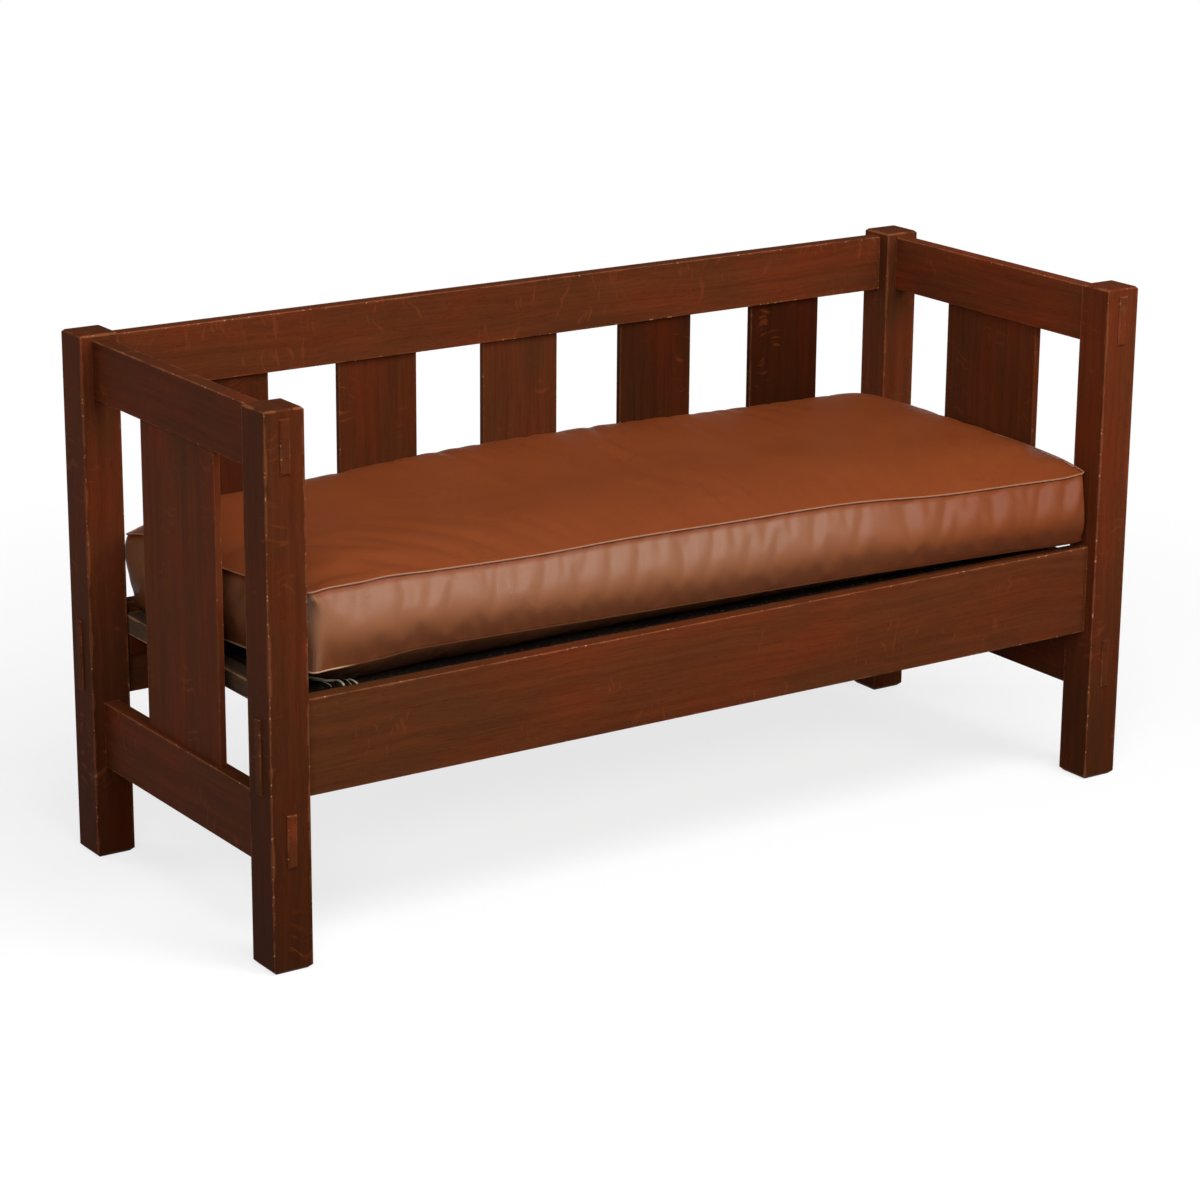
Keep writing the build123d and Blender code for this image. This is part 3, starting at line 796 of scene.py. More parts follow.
def strip_level(s, crossings, over_first):
    """0 on the lower level, 1 on the upper: flat over each crossing and eased between them."""
    level, reach = 0.0, WEB_HALF + LEVEL_RUN / 2
    for count, middle in enumerate(crossings):
        if (count % 2 == 0) == over_first:
            rise = ease((s - middle + reach) / LEVEL_RUN)
            level = max(level, rise * ease((middle + reach - s) / LEVEL_RUN))
    return level


def lay_strip(node, lengthwise, centre, crossings, over_first):
    """One strip in place of its CAD node, tacked to the two members at its ends."""
    def place(a, s):
        x, y = (s, centre + a) if lengthwise else (centre + a, s)
        level = strip_level(s, crossings, over_first)
        cup = WEB_CUP * (1 - (a / WEB_HALF) ** 2)
        z = FRAME_TOP + WEB_THICK / 2 + WEB_CLEAR + LEVEL_RISE * level - sag(x, y) + cup
        return (x, y, z)

    axis, ends = ("x", ("left", "right")) if lengthwise else ("y", ("front", "back"))
    low, high = edge_of(node, "low", axis), edge_of(node, "high", axis)
    strip = sheet_piece(
        "laced_" + node, place, stations(-WEB_HALF, WEB_HALF, ACROSS_STEP),
        stations(low, high, ALONG_STEP), WEB_SKIN, "seat_frame", jute,
    )
    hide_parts(node)


for number, row in enumerate(ROWS):
    lay_strip(f"webbing_long_{number + 1}", True, row, COLUMNS, number % 2 == 1)
for number, column in enumerate(COLUMNS):
    lay_strip(f"webbing_cross_{number + 1:02d}", False, column, ROWS, number % 2 == 0)
print("webbing strips:", len(ROWS) + len(COLUMNS), "lowest point sags",
      round(sag(0, ROWS[1]) * 1000, 1), "mm")

# %% [markdown]
# ## Seat cloth
#
# One piece of cotton covers the webbing. Its edge is folded under 14 mm all round and tacked
# through the fold. It lies on the web, so it shows the gaps between the strips as shallow
# dips, and it is a little slack, so faint wrinkles run between the tacks. It is laid by code:
# each station on the flat cut has its place, and near the edge a depth inside the fold.

# %% Cloth
CLOTH_LOW = Vector(edge_of("seat_cloth", "low", axis) for axis in "xy")
CLOTH_HIGH = Vector(edge_of("seat_cloth", "high", axis) for axis in "xy")
CLOTH_MIDDLE, CLOTH_THICK, CLOTH_STEP = 0.3438, 0.0008, 0.0085
RIPPLE, DIP, DIP_EDGE = 0.00022, 0.0007, 0.008
HEM, HEM_MIDDLE, FOLD_DEPTH = 0.014, 0.008, 0.003
FOLD = [(HEM, 1.0), (HEM_MIDDLE, 1.0), (0.0022, 1.0), (0.0005, 0.8), (0.0, 0.5), (0.0005, 0.2),
        (0.0022, 0.0)]


def web_cover(value, middles):
    """1 over a strip of this direction, 0 in the gaps between strips."""
    reach = WEB_HALF + DIP_EDGE / 2
    return max(ease((reach - abs(value - middle)) / DIP_EDGE) for middle in middles)


def hem_stations(low, high, step):
    """Stations on the cut: each is (place, depth of fold), running out along the under layer."""
    start = [(low + inset, depth) for inset, depth in FOLD]
    end = [(high - inset, depth) for inset, depth in reversed(FOLD)]
    return start + [(s, 0.0) for s in stations(low + HEM_MIDDLE, high - HEM_MIDDLE, step)] + end


def flat_lengths(places):
    """How far along the cut each station is, with the folds opened out, from the cut's middle."""
    run = [0.0]
    for (a, d), (b, e) in zip(places, places[1:]):
        run.append(run[-1] + math.hypot(b - a, (e - d) * FOLD_DEPTH))
    return [r - run[-1] / 2 for r in run]


def hem_drop(fold, at_corner, more, inset):
    """How far the under layer lies down: less near a corner, where two hems cross."""
    return fold * (at_corner + more * ease((inset - 0.02) / 0.04))


cloth_x = hem_stations(CLOTH_LOW.x, CLOTH_HIGH.x, CLOTH_STEP)
cloth_y = hem_stations(CLOTH_LOW.y, CLOTH_HIGH.y, CLOTH_STEP)
flat_x, flat_y = flat_lengths(cloth_x), flat_lengths(cloth_y)
station_x, station_y = dict(zip(flat_x, cloth_x)), dict(zip(flat_y, cloth_y))
web_end_x = edge_of("webbing_long_1", "high", "x")
web_low_y, web_high_y = edge_of("webbing_cross_01", "low", "y"), edge_of("webbing_cross_01", "high", "y")


def cloth_place(a, b):
    (x, fold_x), (y, fold_y) = station_x[b], station_y[a]
    from_end = min(x - CLOTH_LOW.x, CLOTH_HIGH.x - x)
    from_side = min(y - CLOTH_LOW.y, CLOTH_HIGH.y - y)
    drop_x = hem_drop(fold_x, 0.0011, 0.0020, from_side)
    drop_y = hem_drop(fold_y, 0.0022, 0.0009, from_end)
    covered = max(
        web_cover(y, ROWS) if abs(x) < web_end_x else 0.0,
        web_cover(x, COLUMNS) if web_low_y < y < web_high_y else 0.0,
    )
    ripple = noise.noise(Vector((x * 22, y * 34, 3.1))) * RIPPLE
    dip = DIP * (1 - covered) * ease((min(from_end, from_side) - 0.016) / 0.02)
    return (x, y, CLOTH_MIDDLE - sag(x, y) - dip + ripple - drop_x - drop_y)


cloth = sheet_piece(
    "black_seat_cloth", cloth_place, flat_y, flat_x, CLOTH_THICK, "seat_frame", black_cotton,
)
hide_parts("seat_cloth")
print("cloth cut", round(flat_y[-1] - flat_y[0], 3), "by", round(flat_x[-1] - flat_x[0], 3), "m,",
      len(cloth.data.polygons), "faces")

# %% [markdown]
# ## Tack heads
#
# The cloth's edge is held by a row of small domed tacks, an inch apart, that can just be
# counted under the front of the cushion. A spin could make the head, but its rings are so
# few that a disc is drawn up from one to the next and closed by a poked tip. Every tack is a
# copy of it, each set by hand and so a little off the line and the tilt.

# %% A tack's head
HEAD_RADIUS, HEAD_TIP = 0.0036, 0.00004
HEAD_RINGS = [(0.0037, 0.00035), (0.0033, 0.00075), (0.0023, 0.00112), (0.0011, 0.0013)]


def tack_head():
    """One domed head on the origin, with a rolled rim, 7.4 mm across and 1.34 mm high."""
    bpy.ops.object.select_all(action="DESELECT")
    bpy.ops.mesh.primitive_circle_add(
        vertices=10, radius=HEAD_RADIUS, fill_type="NGON", location=(0, 0, 0),
        rotation=(0, 0, math.pi / 2),
    )
    bpy.ops.object.transform_apply(location=False, rotation=True, scale=False)
    bpy.ops.object.mode_set(mode="EDIT")
    bpy.ops.mesh.select_all(action="SELECT")
    radius, level = HEAD_RADIUS, 0.0
    for next_radius, next_level in HEAD_RINGS:
        share = next_radius / radius
        bpy.ops.mesh.extrude_region_move(TRANSFORM_OT_translate={"value": (0, 0, next_level - level)})
        bpy.ops.transform.resize(value=(share, share, 1), center_override=(0, 0, next_level))
        radius, level = next_radius, next_level
    bpy.ops.mesh.poke(offset=HEAD_TIP)
    bpy.ops.mesh.select_all(action="SELECT")
    bpy.ops.mesh.normals_make_consistent(inside=False)
    bpy.ops.object.mode_set(mode="OBJECT")
    bpy.ops.object.shade_smooth()
    return bpy.context.active_object


head = tack_head()
print("a tack's head has", len(head.data.polygons), "faces")

# %% Tacks
ROW_LOW = Vector(edge_of("seat_tacks", "low", axis) + HEAD_RADIUS for axis in "xy")
ROW_HIGH = Vector(edge_of("seat_tacks", "high", axis) - HEAD_RADIUS for axis in "xy")
HEAD_LEVEL = CLOTH_MIDDLE + CLOTH_THICK / 2 + 0.00002
TILT, SLIP_X, SLIP_Y = 0.07, 0.0009, 0.0007
knock = random.Random(77)


def tack_places():
    """An inch apart, or nearly: 49 gaps along the front and the back, 16 along each end."""
    across, deep = 49, 16
    for k in range(across + 1):
        x = ROW_LOW.x + (ROW_HIGH.x - ROW_LOW.x) * k / across
        yield x, ROW_LOW.y
        yield x, ROW_HIGH.y
    for k in range(1, deep):
        y = ROW_LOW.y + (ROW_HIGH.y - ROW_LOW.y) * k / deep
        yield ROW_LOW.x, y
        yield ROW_HIGH.x, y


def set_tack(x, y):
    """A copy of the head, knocked in a little crooked and off its place."""
    tilts = [Matrix.Rotation(knock.uniform(-TILT, TILT), 4, axis) for axis in "XY"]
    spot = (x + knock.uniform(-SLIP_X, SLIP_X), y + knock.uniform(-SLIP_Y, SLIP_Y), HEAD_LEVEL)
    tack = bpy.data.objects.new("tack", head.data.copy())
    tack.data.transform(Matrix.Translation(spot) @ tilts[0] @ tilts[1])
    scene.collection.objects.link(tack)
    return tack


row = [set_tack(x, y) for x, y in tack_places()]
bpy.data.objects.remove(head)
print("tacks:", len(row))
bpy.ops.object.select_all(action="DESELECT")
for tack in row:
    tack.select_set(True)
bpy.context.view_layer.objects.active = row[0]
bpy.ops.object.join()
mesh = row[0].data
mesh.name = "domed_tacks"
bpy.data.objects.remove(row[0])
tacks = new_piece("domed_tacks", mesh, "seat_frame", tack_finish)
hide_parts("seat_tacks")
print("faces on all the tacks:", len(mesh.polygons))

# %% [markdown]
# ## Frayed jute
#
# At the front left corner of the seat frame some jute has come out from under the cloth, and
# its threads lie loose on the wood. Their colour is painted much paler than the webbing's
# jute, as painted light, so they read as lit in the shade under the cushion. Each is a thin
# tube along a few points.

# %% Tube helper
def tube_mesh(name, routes, sides=6):
    """Thin round tubes, each along its own list of points and with its own radius, in one mesh."""
    points, faces = [], []
    for route, radius, closed in routes:
        start, count = len(points), len(route)
        for i, spot in enumerate(route):
            before = route[i - 1] if i or closed else spot
            after = route[(i + 1) % count] if i < count - 1 or closed else spot
            run = (after - before).normalized()
            side = run.cross(Vector((0, 0, 1)))
            side = side.normalized() if side.length > 1e-6 else Vector((1, 0, 0))
            up = side.cross(run)
            points += [spot + radius * (side * math.cos(a) + up * math.sin(a))
                       for a in (2 * math.pi * k / sides for k in range(sides))]
        for i in range(count if closed else count - 1):
            here, there = start + i * sides, start + ((i + 1) % count) * sides
            faces += [(here + k, here + (k + 1) % sides, there + (k + 1) % sides, there + k)
                      for k in range(sides)]
        if not closed:
            faces.append(tuple(start + k for k in reversed(range(sides))))
            faces.append(tuple(start + (count - 1) * sides + k for k in range(sides)))
    mesh = bpy.data.meshes.new(name)
    mesh.from_pydata(points, [], faces)
    mesh.polygons.foreach_set("use_smooth", [True] * len(mesh.polygons))
    return mesh


def smooth_route(knots, per_run=8):
    """A rounded line through a few points."""
    knots = [Vector(k) for k in knots]
    ends = [knots[0] * 2 - knots[1]] + knots + [knots[-1] * 2 - knots[-2]]
    route = []
    for a, b, c, d in zip(ends, ends[1:], ends[2:], ends[3:]):
        for k in range(per_run):
            t = k / per_run
            route.append(0.5 * ((2 * b) + (c - a) * t + (2 * a - 5 * b + 4 * c - d) * t * t
                                + (3 * b - a - 3 * c + d) * t ** 3))
    return route + [knots[-1]]


print("tube helper ready")

# %% Frayed threads
# Painted light: far paler than the webbing's jute, so the threads read as lit in shade.
lit_thread_finish, tree, shader = new_finish("frayed_jute", srgb(206, 182, 148))
place = put(tree, "TexCoord", out="Object")
twist = spread(tree, cloud(tree, place, (900, 900, 900), 3.0), 0.35, 0.65)
fill(tree, shader.inputs, {
    "Base Color": blend_colour(tree, twist, srgb(226, 200, 160), srgb(255, 242, 214)),
    "Roughness": 0.95, "Specular IOR Level": 0.1,
})
roughen(tree, shader, twist, 0.6, 0.0002)

cord = ((-0.5862, -0.158, 0.3452), (-0.5850, -0.163, 0.3462), (-0.5795, -0.176, 0.3470),
        (-0.5770, -0.183, 0.3466), (-0.5690, -0.187, 0.3462), (-0.5632, -0.1885, 0.3466),
        (-0.5625, -0.199, 0.3462), (-0.5640, -0.209, 0.3452))
tuft = ((-0.5480, -0.192, 0.3458), (-0.5465, -0.203, 0.3464), (-0.5440, -0.2165, 0.3420))
long_hair = ((-0.5900, -0.170, 0.3458), (-0.5840, -0.181, 0.3468), (-0.5800, -0.196, 0.3460),
             (-0.5812, -0.207, 0.3456))
short_hair = ((-0.5560, -0.185, 0.3458), (-0.5530, -0.197, 0.3466), (-0.5545, -0.2115, 0.3448))
loose = ((cord, 0.0016), (tuft, 0.0010), (long_hair, 0.0004), (short_hair, 0.0004))
mesh = tube_mesh("frayed_threads", [(smooth_route(knots), radius, False) for knots, radius in loose])
new_piece("frayed_threads", mesh, "seat_frame", lit_thread_finish)
print("threads:", len(loose), "faces:", len(mesh.polygons))

# %% [markdown]
# ## Leather
#
# The cushion is an oiled brown cowhide with a fine grain. It has worn evenly, so the colour
# drifts slowly between a red brown and a tan. Its creases and the pits of its grain are
# painted darker, as shade. Sitters have polished the upper half of its front, most of all
# at the left, and the lower half has stayed dull. Its colour also paints light: a tan
# highlight over that upper half, and shade that darkens the lower half.

# %% Leather's grain and creases
leather_look, given, result = new_group(
    "Leather",
    [("Place", "Vector", None), ("Grain", "Float", 0.0012)],
    [("Colour", "Color"), ("Roughness", "Float"), ("Height", "Float")],
)
tree = leather_look
place = given["Place"]
scaled = vectors(tree, "DIVIDE", place, same_three(tree, given["Grain"]))
cells = put(tree, "TexVoronoi", {"Vector": scaled, "Scale": 1.0}, feature="DISTANCE_TO_EDGE")
pebbles = spread(tree, cells, 0.0, 0.35)
slow = cloud(tree, place, (2.2, 2.8, 6.0), 2.0, 0.5)
quick_drift = cloud(tree, place, (9, 12, 20), 3.0, 0.55)
tone = plus(tree, times(tree, slow, 0.65), times(tree, quick_drift, 0.35))
swirl = vectors(tree, "MULTIPLY", cloud(tree, place, (9, 9, 9), 2.0, out=1), (0.03, 0.03, 0.03))
folds = cloud(tree, vectors(tree, "ADD", place, swirl), (26, 60, 34), 4.0, 0.62)
folds = sums(tree, "ABSOLUTE", minus(tree, folds, 0.5))
crease = spread(tree, folds, 0.0, 0.022, 1.0, 0.0)
where = spread(tree, cloud(tree, place, (5, 7, 7), 1.0), 0.52, 0.66)
crease = times(tree, crease, where)
colour = blend_colour(tree, spread(tree, tone, 0.36, 0.64), srgb(122, 58, 26), srgb(129, 63, 29))
# Painted shade: creases and the pits between the grain's pebbles are darkened.
colour = blend_colour(tree, times(tree, crease, 0.35), colour, srgb(78, 36, 18))
pit = times(tree, minus(tree, 1.0, pebbles), 0.25)
colour = blend_colour(tree, pit, colour, srgb(70, 32, 16))
rough = plus(tree, spread(tree, quick_drift, 0.35, 0.65, 0.37, 0.40), times(tree, pit, 0.3))
height = minus(tree, times(tree, pebbles, 0.35), times(tree, crease, 0.8))
fill(tree, result, {"Colour": colour, "Roughness": rough, "Height": height})
print("group", tree.name, "has", len(tree.nodes), "nodes")

# %% [markdown]
# ## Where the leather is dark, pale or polished
#
# The leather changes with its place on the cushion: a painted shadow line under the upper
# seam, a dry lower half that is also painted darker as shade, a bottom painted near black as
# shade, and a pale front left corner, partly rubbed and partly a painted highlight. Two
# values stored on each point of the mesh tell the material where it is.
# down is 0 on the top, runs from 0 at the upper seam to 1 at the lower, and is 2 underneath.
# rub is how much a place is painted pale: rubbed wear, and a painted highlight at the front
# left corner and on the upper welt.

# %% Leather finish
def leather_finish(name):
    """Leather that reads the values down and rub from the mesh."""
    material, tree, shader = new_finish(name, srgb(124, 62, 31))
    place = put(tree, "TexCoord", out="Object")
    look = use_group(tree, leather_look, {"Place": place})
    down = put(tree, "Attribute", out="Fac", attribute_name="down")
    rub = put(tree, "Attribute", out="Fac", attribute_name="rub")
    # Painted shadow: a thin dark line just under the upper seam, where the welt would shade it.
    seam_shadow_fade = spread(tree, down, 0.012, 0.028, 0.7, 0.0)
    seam_shadow = times(tree, spread(tree, down, 0.002, 0.008), seam_shadow_fade)
    # Painted shade: the lower boxing darkens towards the bottom seam, and the bottom nearly to black.
    colour = blend_colour(tree, spread(tree, down, 0.34, 0.90, 0.0, 0.48), look["Colour"], srgb(64, 29, 13))
    colour = blend_colour(tree, spread(tree, down, 1.1, 1.9, 0.0, 0.85), colour, srgb(26, 13, 8))
    # side weakens the painted highlight and the polish towards the right end.
    side = spread(tree, split(tree, place)["X"], 0.0, 0.55, 1.0, 0.12)
    # Painted highlight: a tan over the upper boxing, strongest under the seam, where the lamp's reflection
    # falls.
    tan = spread(tree, down, 0.35, 1.0, 0.46, 0.12)
    painted_highlight_tan = times(tree, spread(tree, down, 0.02, 0.10), tan)
    colour = blend_colour(tree, times(tree, painted_highlight_tan, side), colour, srgb(142, 102, 72))
    colour = blend_colour(tree, seam_shadow, colour, srgb(52, 22, 10))
    # rub pales the leather: real wear, and a painted highlight at the front left corner and upper welt.
    colour = blend_colour(tree, rub, colour, srgb(200, 160, 128))
    dry = spread(tree, down, 0.28, 0.68, 1.0, 0.0)
    polish = times(tree, spread(tree, down, 0.03, 0.10, 0.28, 0.66), dry)
    polish = times(tree, polish, plus(tree, times(tree, side, 0.6), 0.4))
    fill(tree, shader.inputs, {
        "Base Color": colour, "Roughness": look["Roughness"], "Coat Weight": polish,
        "Coat Roughness": 0.46, "Specular IOR Level": 0.03,
    })
    roughen(tree, shader, look["Height"], 0.35, 0.0004)
    return material


def store_value(mesh, name, values):
    mesh.attributes.new(name, "FLOAT", "POINT").data.foreach_set("value", values)


leather = leather_finish("brown_leather")
print("leather ready with", len(leather.node_tree.nodes), "nodes beside its group")

# %% [markdown]
# ## The cushion's seams
#
# A box cushion is sewn from a top, a bottom and a strip that goes round its side, the
# boxing. Two seams run all round, and their heights here follow the photograph: the cushion
# is old, fuller at its left than at its right. Each side has a few knots of place and height
# along it, and a smooth curve runs through them. A curve object could do the same, but a
# function can also be asked for the height at any place.

# %% Seam heights
LEFT, RIGHT, FRONT, BACK = -0.634, 0.6475, -0.2505, 0.2225


def through(knots, s):
    """A smooth curve through knots of (place, height), read at one place."""
    knots = sorted(knots)
    if s <= knots[0][0]:
        return knots[0][1]
    if s >= knots[-1][0]:
        return knots[-1][1]
    i = max(k for k in range(len(knots) - 1) if knots[k][0] <= s)
    (a, p), (b, q) = knots[i], knots[i + 1]
    before = knots[i - 1] if i else (2 * a - b, p)
    after = knots[i + 2] if i + 2 < len(knots) else (2 * b - a, q)
    m, n = (q - before[1]) / (b - before[0]) * (b - a), (after[1] - p) / (after[0] - a) * (b - a)
    t = (s - a) / (b - a)
    return ((2 * t**3 - 3 * t**2 + 1) * p + (t**3 - 2 * t**2 + t) * m
            + (3 * t**2 - 2 * t**3) * q + (t**3 - t**2) * n)


TOP_SEAM = {
    "front": [(-0.639, 0.4890), (-0.611, 0.4910), (-0.560, 0.4912), (-0.520, 0.4926),
              (-0.460, 0.4896), (-0.300, 0.4850), (-0.150, 0.4856), (0.0, 0.4828),
              (0.220, 0.4793), (0.400, 0.4668), (0.600, 0.4625), (0.651, 0.4655)],
    "back": [(-0.645, 0.4530), (-0.624, 0.4590), (-0.570, 0.4690), (-0.375, 0.4812),
             (-0.194, 0.4928), (0.043, 0.4957), (0.280, 0.4910), (0.518, 0.4862),
             (0.608, 0.4762), (0.651, 0.4685)],
    "left": [(-0.258, 0.4890), (-0.200, 0.4760), (-0.100, 0.4710), (-0.050, 0.4670),
             (0.0, 0.4660), (0.100, 0.4690), (0.170, 0.4670), (0.200, 0.4610), (0.2330, 0.4530)],
    "right": [(-0.258, 0.4655), (-0.200, 0.4735), (-0.100, 0.4788), (0.0, 0.4788),
              (0.100, 0.4765), (0.2315, 0.4690)],
}
LOW_SEAM = {
    "front": [(-0.639, 0.3856), (-0.540, 0.3883), (-0.478, 0.3918), (-0.136, 0.3835),
              (0.201, 0.3765), (0.400, 0.3712), (0.620, 0.3657), (0.651, 0.3676)],
    "back": [(-0.639, 0.3600), (-0.375, 0.3740), (-0.194, 0.3850), (0.043, 0.3880),
             (0.280, 0.3830), (0.518, 0.3790), (0.651, 0.3650)],
    "left": [(-0.258, 0.3840), (-0.082, 0.3746), (0.100, 0.3650), (0.200, 0.3590), (0.2315, 0.3600)],
    "right": [(-0.258, 0.3660), (0.0, 0.3670), (0.2315, 0.3650)],
}


def seam_height(table, x, y):
    """The seam's height at a place of the plan's edge, eased from side to side at the corners."""
    side_x, side_y = min(x - LEFT, RIGHT - x), min(y - FRONT, BACK - y)
    long_side = through(table["front"], x) if y < 0 else through(table["back"], x)
    end = through(table["left"], y) if x < 0 else through(table["right"], y)
    return end + (long_side - end) * ease(0.5 + (side_x - side_y) / 0.05)


for title, table in (("upper", TOP_SEAM), ("lower", LOW_SEAM)):
    print(title, "seam at the middle of the front:", round(seam_height(table, 0, FRONT), 4), "m")

# %% [markdown]
# ## The seams from above
#
# Between the corners the long sides pull in. The front corners are nearly square, the back
# right one has gone round, and the back left one leans out to the post. The front left one
# sticks out like an ear.

# %% Seam plan
CORNERS = {"front_left": 0.003, "front_right": 0.010, "back_right": 0.046, "back_left": 0.012}
DRAW_IN, FLARE, BACK_FLARE, EAR_OUT, RIGHT_FRONT_OUT = 0.004, 0.016, 0.011, 0.004, 0.006
LONG_COUNT, END_COUNT = 200, 42


def even_points(line, count):
    """Points the same distance apart along a line of points."""
    run = [0.0]
    for p, q in zip(line, line[1:]):
        run.append(run[-1] + math.dist(p, q))
    spots = []
    for k in range(count + 1):
        s = run[-1] * k / count
        i = min(max(j for j in range(len(run)) if run[j] <= s + 1e-9), len(run) - 2)
        spots.append(Vector(line[i]).lerp(Vector(line[i + 1]), (s - run[i]) / (run[i + 1] - run[i])))
    return spots


def ear(spot):
    """1 at the front left corner, where the seam sticks out, and fading within 2 cm of it."""
    return math.exp(-((spot - Vector((LEFT, FRONT))).length / 0.018) ** 2) if spot.y < 0 else 0.0


def corner(name, sign_x, sign_y, start):
    """A quarter circle of 17 points round one corner of the plan, anticlockwise."""
    radius = CORNERS[name]
    cx = (RIGHT if sign_x > 0 else LEFT) - sign_x * radius
    cy = (BACK if sign_y > 0 else FRONT) - sign_y * radius
    turns = [start + math.pi * k / 32 for k in range(17)]
    return [(cx + radius * math.cos(a), cy + radius * math.sin(a)) for a in turns]


def seam_plan():
    """The four sides of the seam seen from above, each from mid-corner to mid-corner."""
    fl, fr = corner("front_left", -1, -1, math.pi), corner("front_right", 1, -1, 1.5 * math.pi)
    br, bl = corner("back_right", 1, 1, 0), corner("back_left", -1, 1, 0.5 * math.pi)
    sides = [
        even_points(fl[8:] + fr[:9], LONG_COUNT), even_points(fr[8:] + br[:9], END_COUNT),
        even_points(br[8:] + bl[:9], LONG_COUNT), even_points(bl[8:] + fl[:9], END_COUNT),
    ]
    for side, inward in ((sides[0], 1), (sides[2], -1)):
        for k, spot in enumerate(side):
            spot.y += inward * DRAW_IN * math.sin(math.pi * k / LONG_COUNT) ** 0.8
    for spot in (spot for side in sides for spot in side):
        spot.x -= FLARE * ease((spot.y + 0.10) / 0.30) * ease((-spot.x - 0.40) / 0.22)
        spot.y += BACK_FLARE * ease((spot.y - 0.14) / 0.07) * ease((-spot.x - 0.48) / 0.14)
        spot.x -= EAR_OUT * ear(spot)
        spot.y -= RIGHT_FRONT_OUT * ease((spot.x - 0.50) / 0.13) * ease((-0.05 - spot.y) / 0.15)
    return sides


top_sides = seam_plan()
plan_loop = [spot for side in top_sides for spot in side[:-1]]
loop_normals = []
for k, spot in enumerate(plan_loop):
    way = (plan_loop[(k + 1) % len(plan_loop)] - plan_loop[k - 1]).normalized()
    loop_normals.append(Vector((way.y, -way.x)))
print("seam loop:", len(plan_loop), "points")

# %% [markdown]
# ## The boxing
#
# The boxing leans out from the top seam, stands fullest a little below its middle and comes
# in again to the bottom seam, so its upper half looks up at the lamp. Near the corners it is
# tight. Soft puckers hang from the top seam, where the strip was gathered on to the thread.

# %% Boxing
FULLNESS = [(0.0, 0), (0.1, 0.29), (0.2, 0.54), (0.3, 0.75), (0.4, 0.90), (0.5, 0.98), (0.6, 1.0),
            (0.7, 0.93), (0.8, 0.78), (0.9, 0.56), (1.0, 0.28)]
EAR_TUCK = ((0.0, 0.0), (0.15, 0.0095), (0.5, 0.0080), (1.0, 0.0055))
BACK_TUCK = ((0.0, 0.0), (0.4, 0.0005), (0.65, 0.0050), (1.0, 0.0095))
BOXING_ROWS = 16
LONG_OUT, END_OUT, END_MIDDLE_OUT = 0.0185, 0.0040, 0.0055
PUCKER, FINE_PUCKER = 0.0064, 0.0026


def boxing_depth(normal, spot):
    """How far the boxing stands out at its fullest: less at the ends and near the corners."""
    end = min(1.0, abs(normal.x)) ** 2
    from_corner = math.hypot(min(spot.x - LEFT, RIGHT - spot.x), min(spot.y - FRONT, BACK - spot.y))
    along = min(spot.x - LEFT, RIGHT - spot.x) if end < 0.5 else min(spot.y - FRONT, BACK - spot.y)
    tight = 0.30 if spot.x * spot.y < 0 else 0.62
    loose = 1 - tight * math.exp(-((max(along, from_corner * 0.7) / 0.045) ** 2))
    middle = max(0.0, 1 - (spot.y / 0.21) ** 2)
    return (LONG_OUT * (1 - end) + (END_OUT + END_MIDDLE_OUT * middle) * end) * loose


loop_depth = [boxing_depth(n, p) for n, p in zip(loop_normals, plan_loop)]


def boxing_line(share, extra=None):
    """The plan of one line round the boxing, this share of the way down from the top seam."""
    line = []
    for k, (spot, normal, depth) in enumerate(zip(plan_loop, loop_normals, loop_depth)):
        lower = 1 + 0.22 * ease((spot.x + 0.45) / 0.35)
        stand = depth * through(FULLNESS, share ** lower)
        stand += extra(k, stand) if extra else 0.0
        tuck = through(EAR_TUCK, share) * ear(spot)
        from_back_left = math.hypot(spot.x + 0.65, spot.y - 0.23)
        tuck += through(BACK_TUCK, share) * math.exp(-((from_back_left / 0.06) ** 2))
        line.append(spot + normal * stand + Vector((tuck, 0.0)))
    return line


def offset_sides(share):
    """One such line cut into its four sides again."""
    moved = boxing_line(share)
    sides, start = [], 0
    for count in (LONG_COUNT, END_COUNT, LONG_COUNT, END_COUNT):
        sides.append([moved[(start + k) % len(moved)] for k in range(count + 1)])
        start += count
    return sides


def pucker(run, share):
    """How far the leather is gathered in or out, this far along the seam and down the boxing."""
    fold = noise.noise(Vector((run * 34 + share * 1.6, share * 1.1, 1.7)))
    fine = noise.noise(Vector((run * 62 + share * 2.5, share * 1.3, 8.2)))
    amount = 0.3 + 0.7 * ease((noise.noise(Vector((run * 5.5, 4.2, 0.3))) + 0.2) / 0.5)
    reach = math.sin(math.pi * min(1.0, share * 1.35) ** 0.7)
    return (PUCKER * fold + FINE_PUCKER * fine) * amount * reach


print("the boxing stands out up to", round(max(loop_depth) * 1000, 1), "mm")

# %% [markdown]
# ## Top and bottom
#
# Both are patches stretched between the four sides of their seams, and crowned: the top
# rises 26 mm, most of it in the first few centimetres from the seam, like a filled case. The
# bottom does the same downwards until it meets the seat and lies flat on it.

# %% Panels
TOP, BOTTOM, REST = 0, 1, 0.3449
FRONT_ROLL, BACK_ROLL, END_ROLL = (0.100, 1.8), (0.070, 2.3), (0.105, 2.2)
LOW_ROLL, LOW_END_ROLL = (0.085, 2.3), (0.11, 2.3)


def patch(sides, i, j):
    """A point of the surface spanned by the four seam sides."""
    front, right, back, left = sides
    u, v = i / LONG_COUNT, j / END_COUNT
    flat = ((1 - u) * (1 - v) * front[0] + u * (1 - v) * front[-1]
            + u * v * back[0] + (1 - u) * v * back[-1])
    return ((1 - v) * front[i] + v * back[LONG_COUNT - i] + (1 - u) * left[END_COUNT - j]
            + u * right[j] - flat)


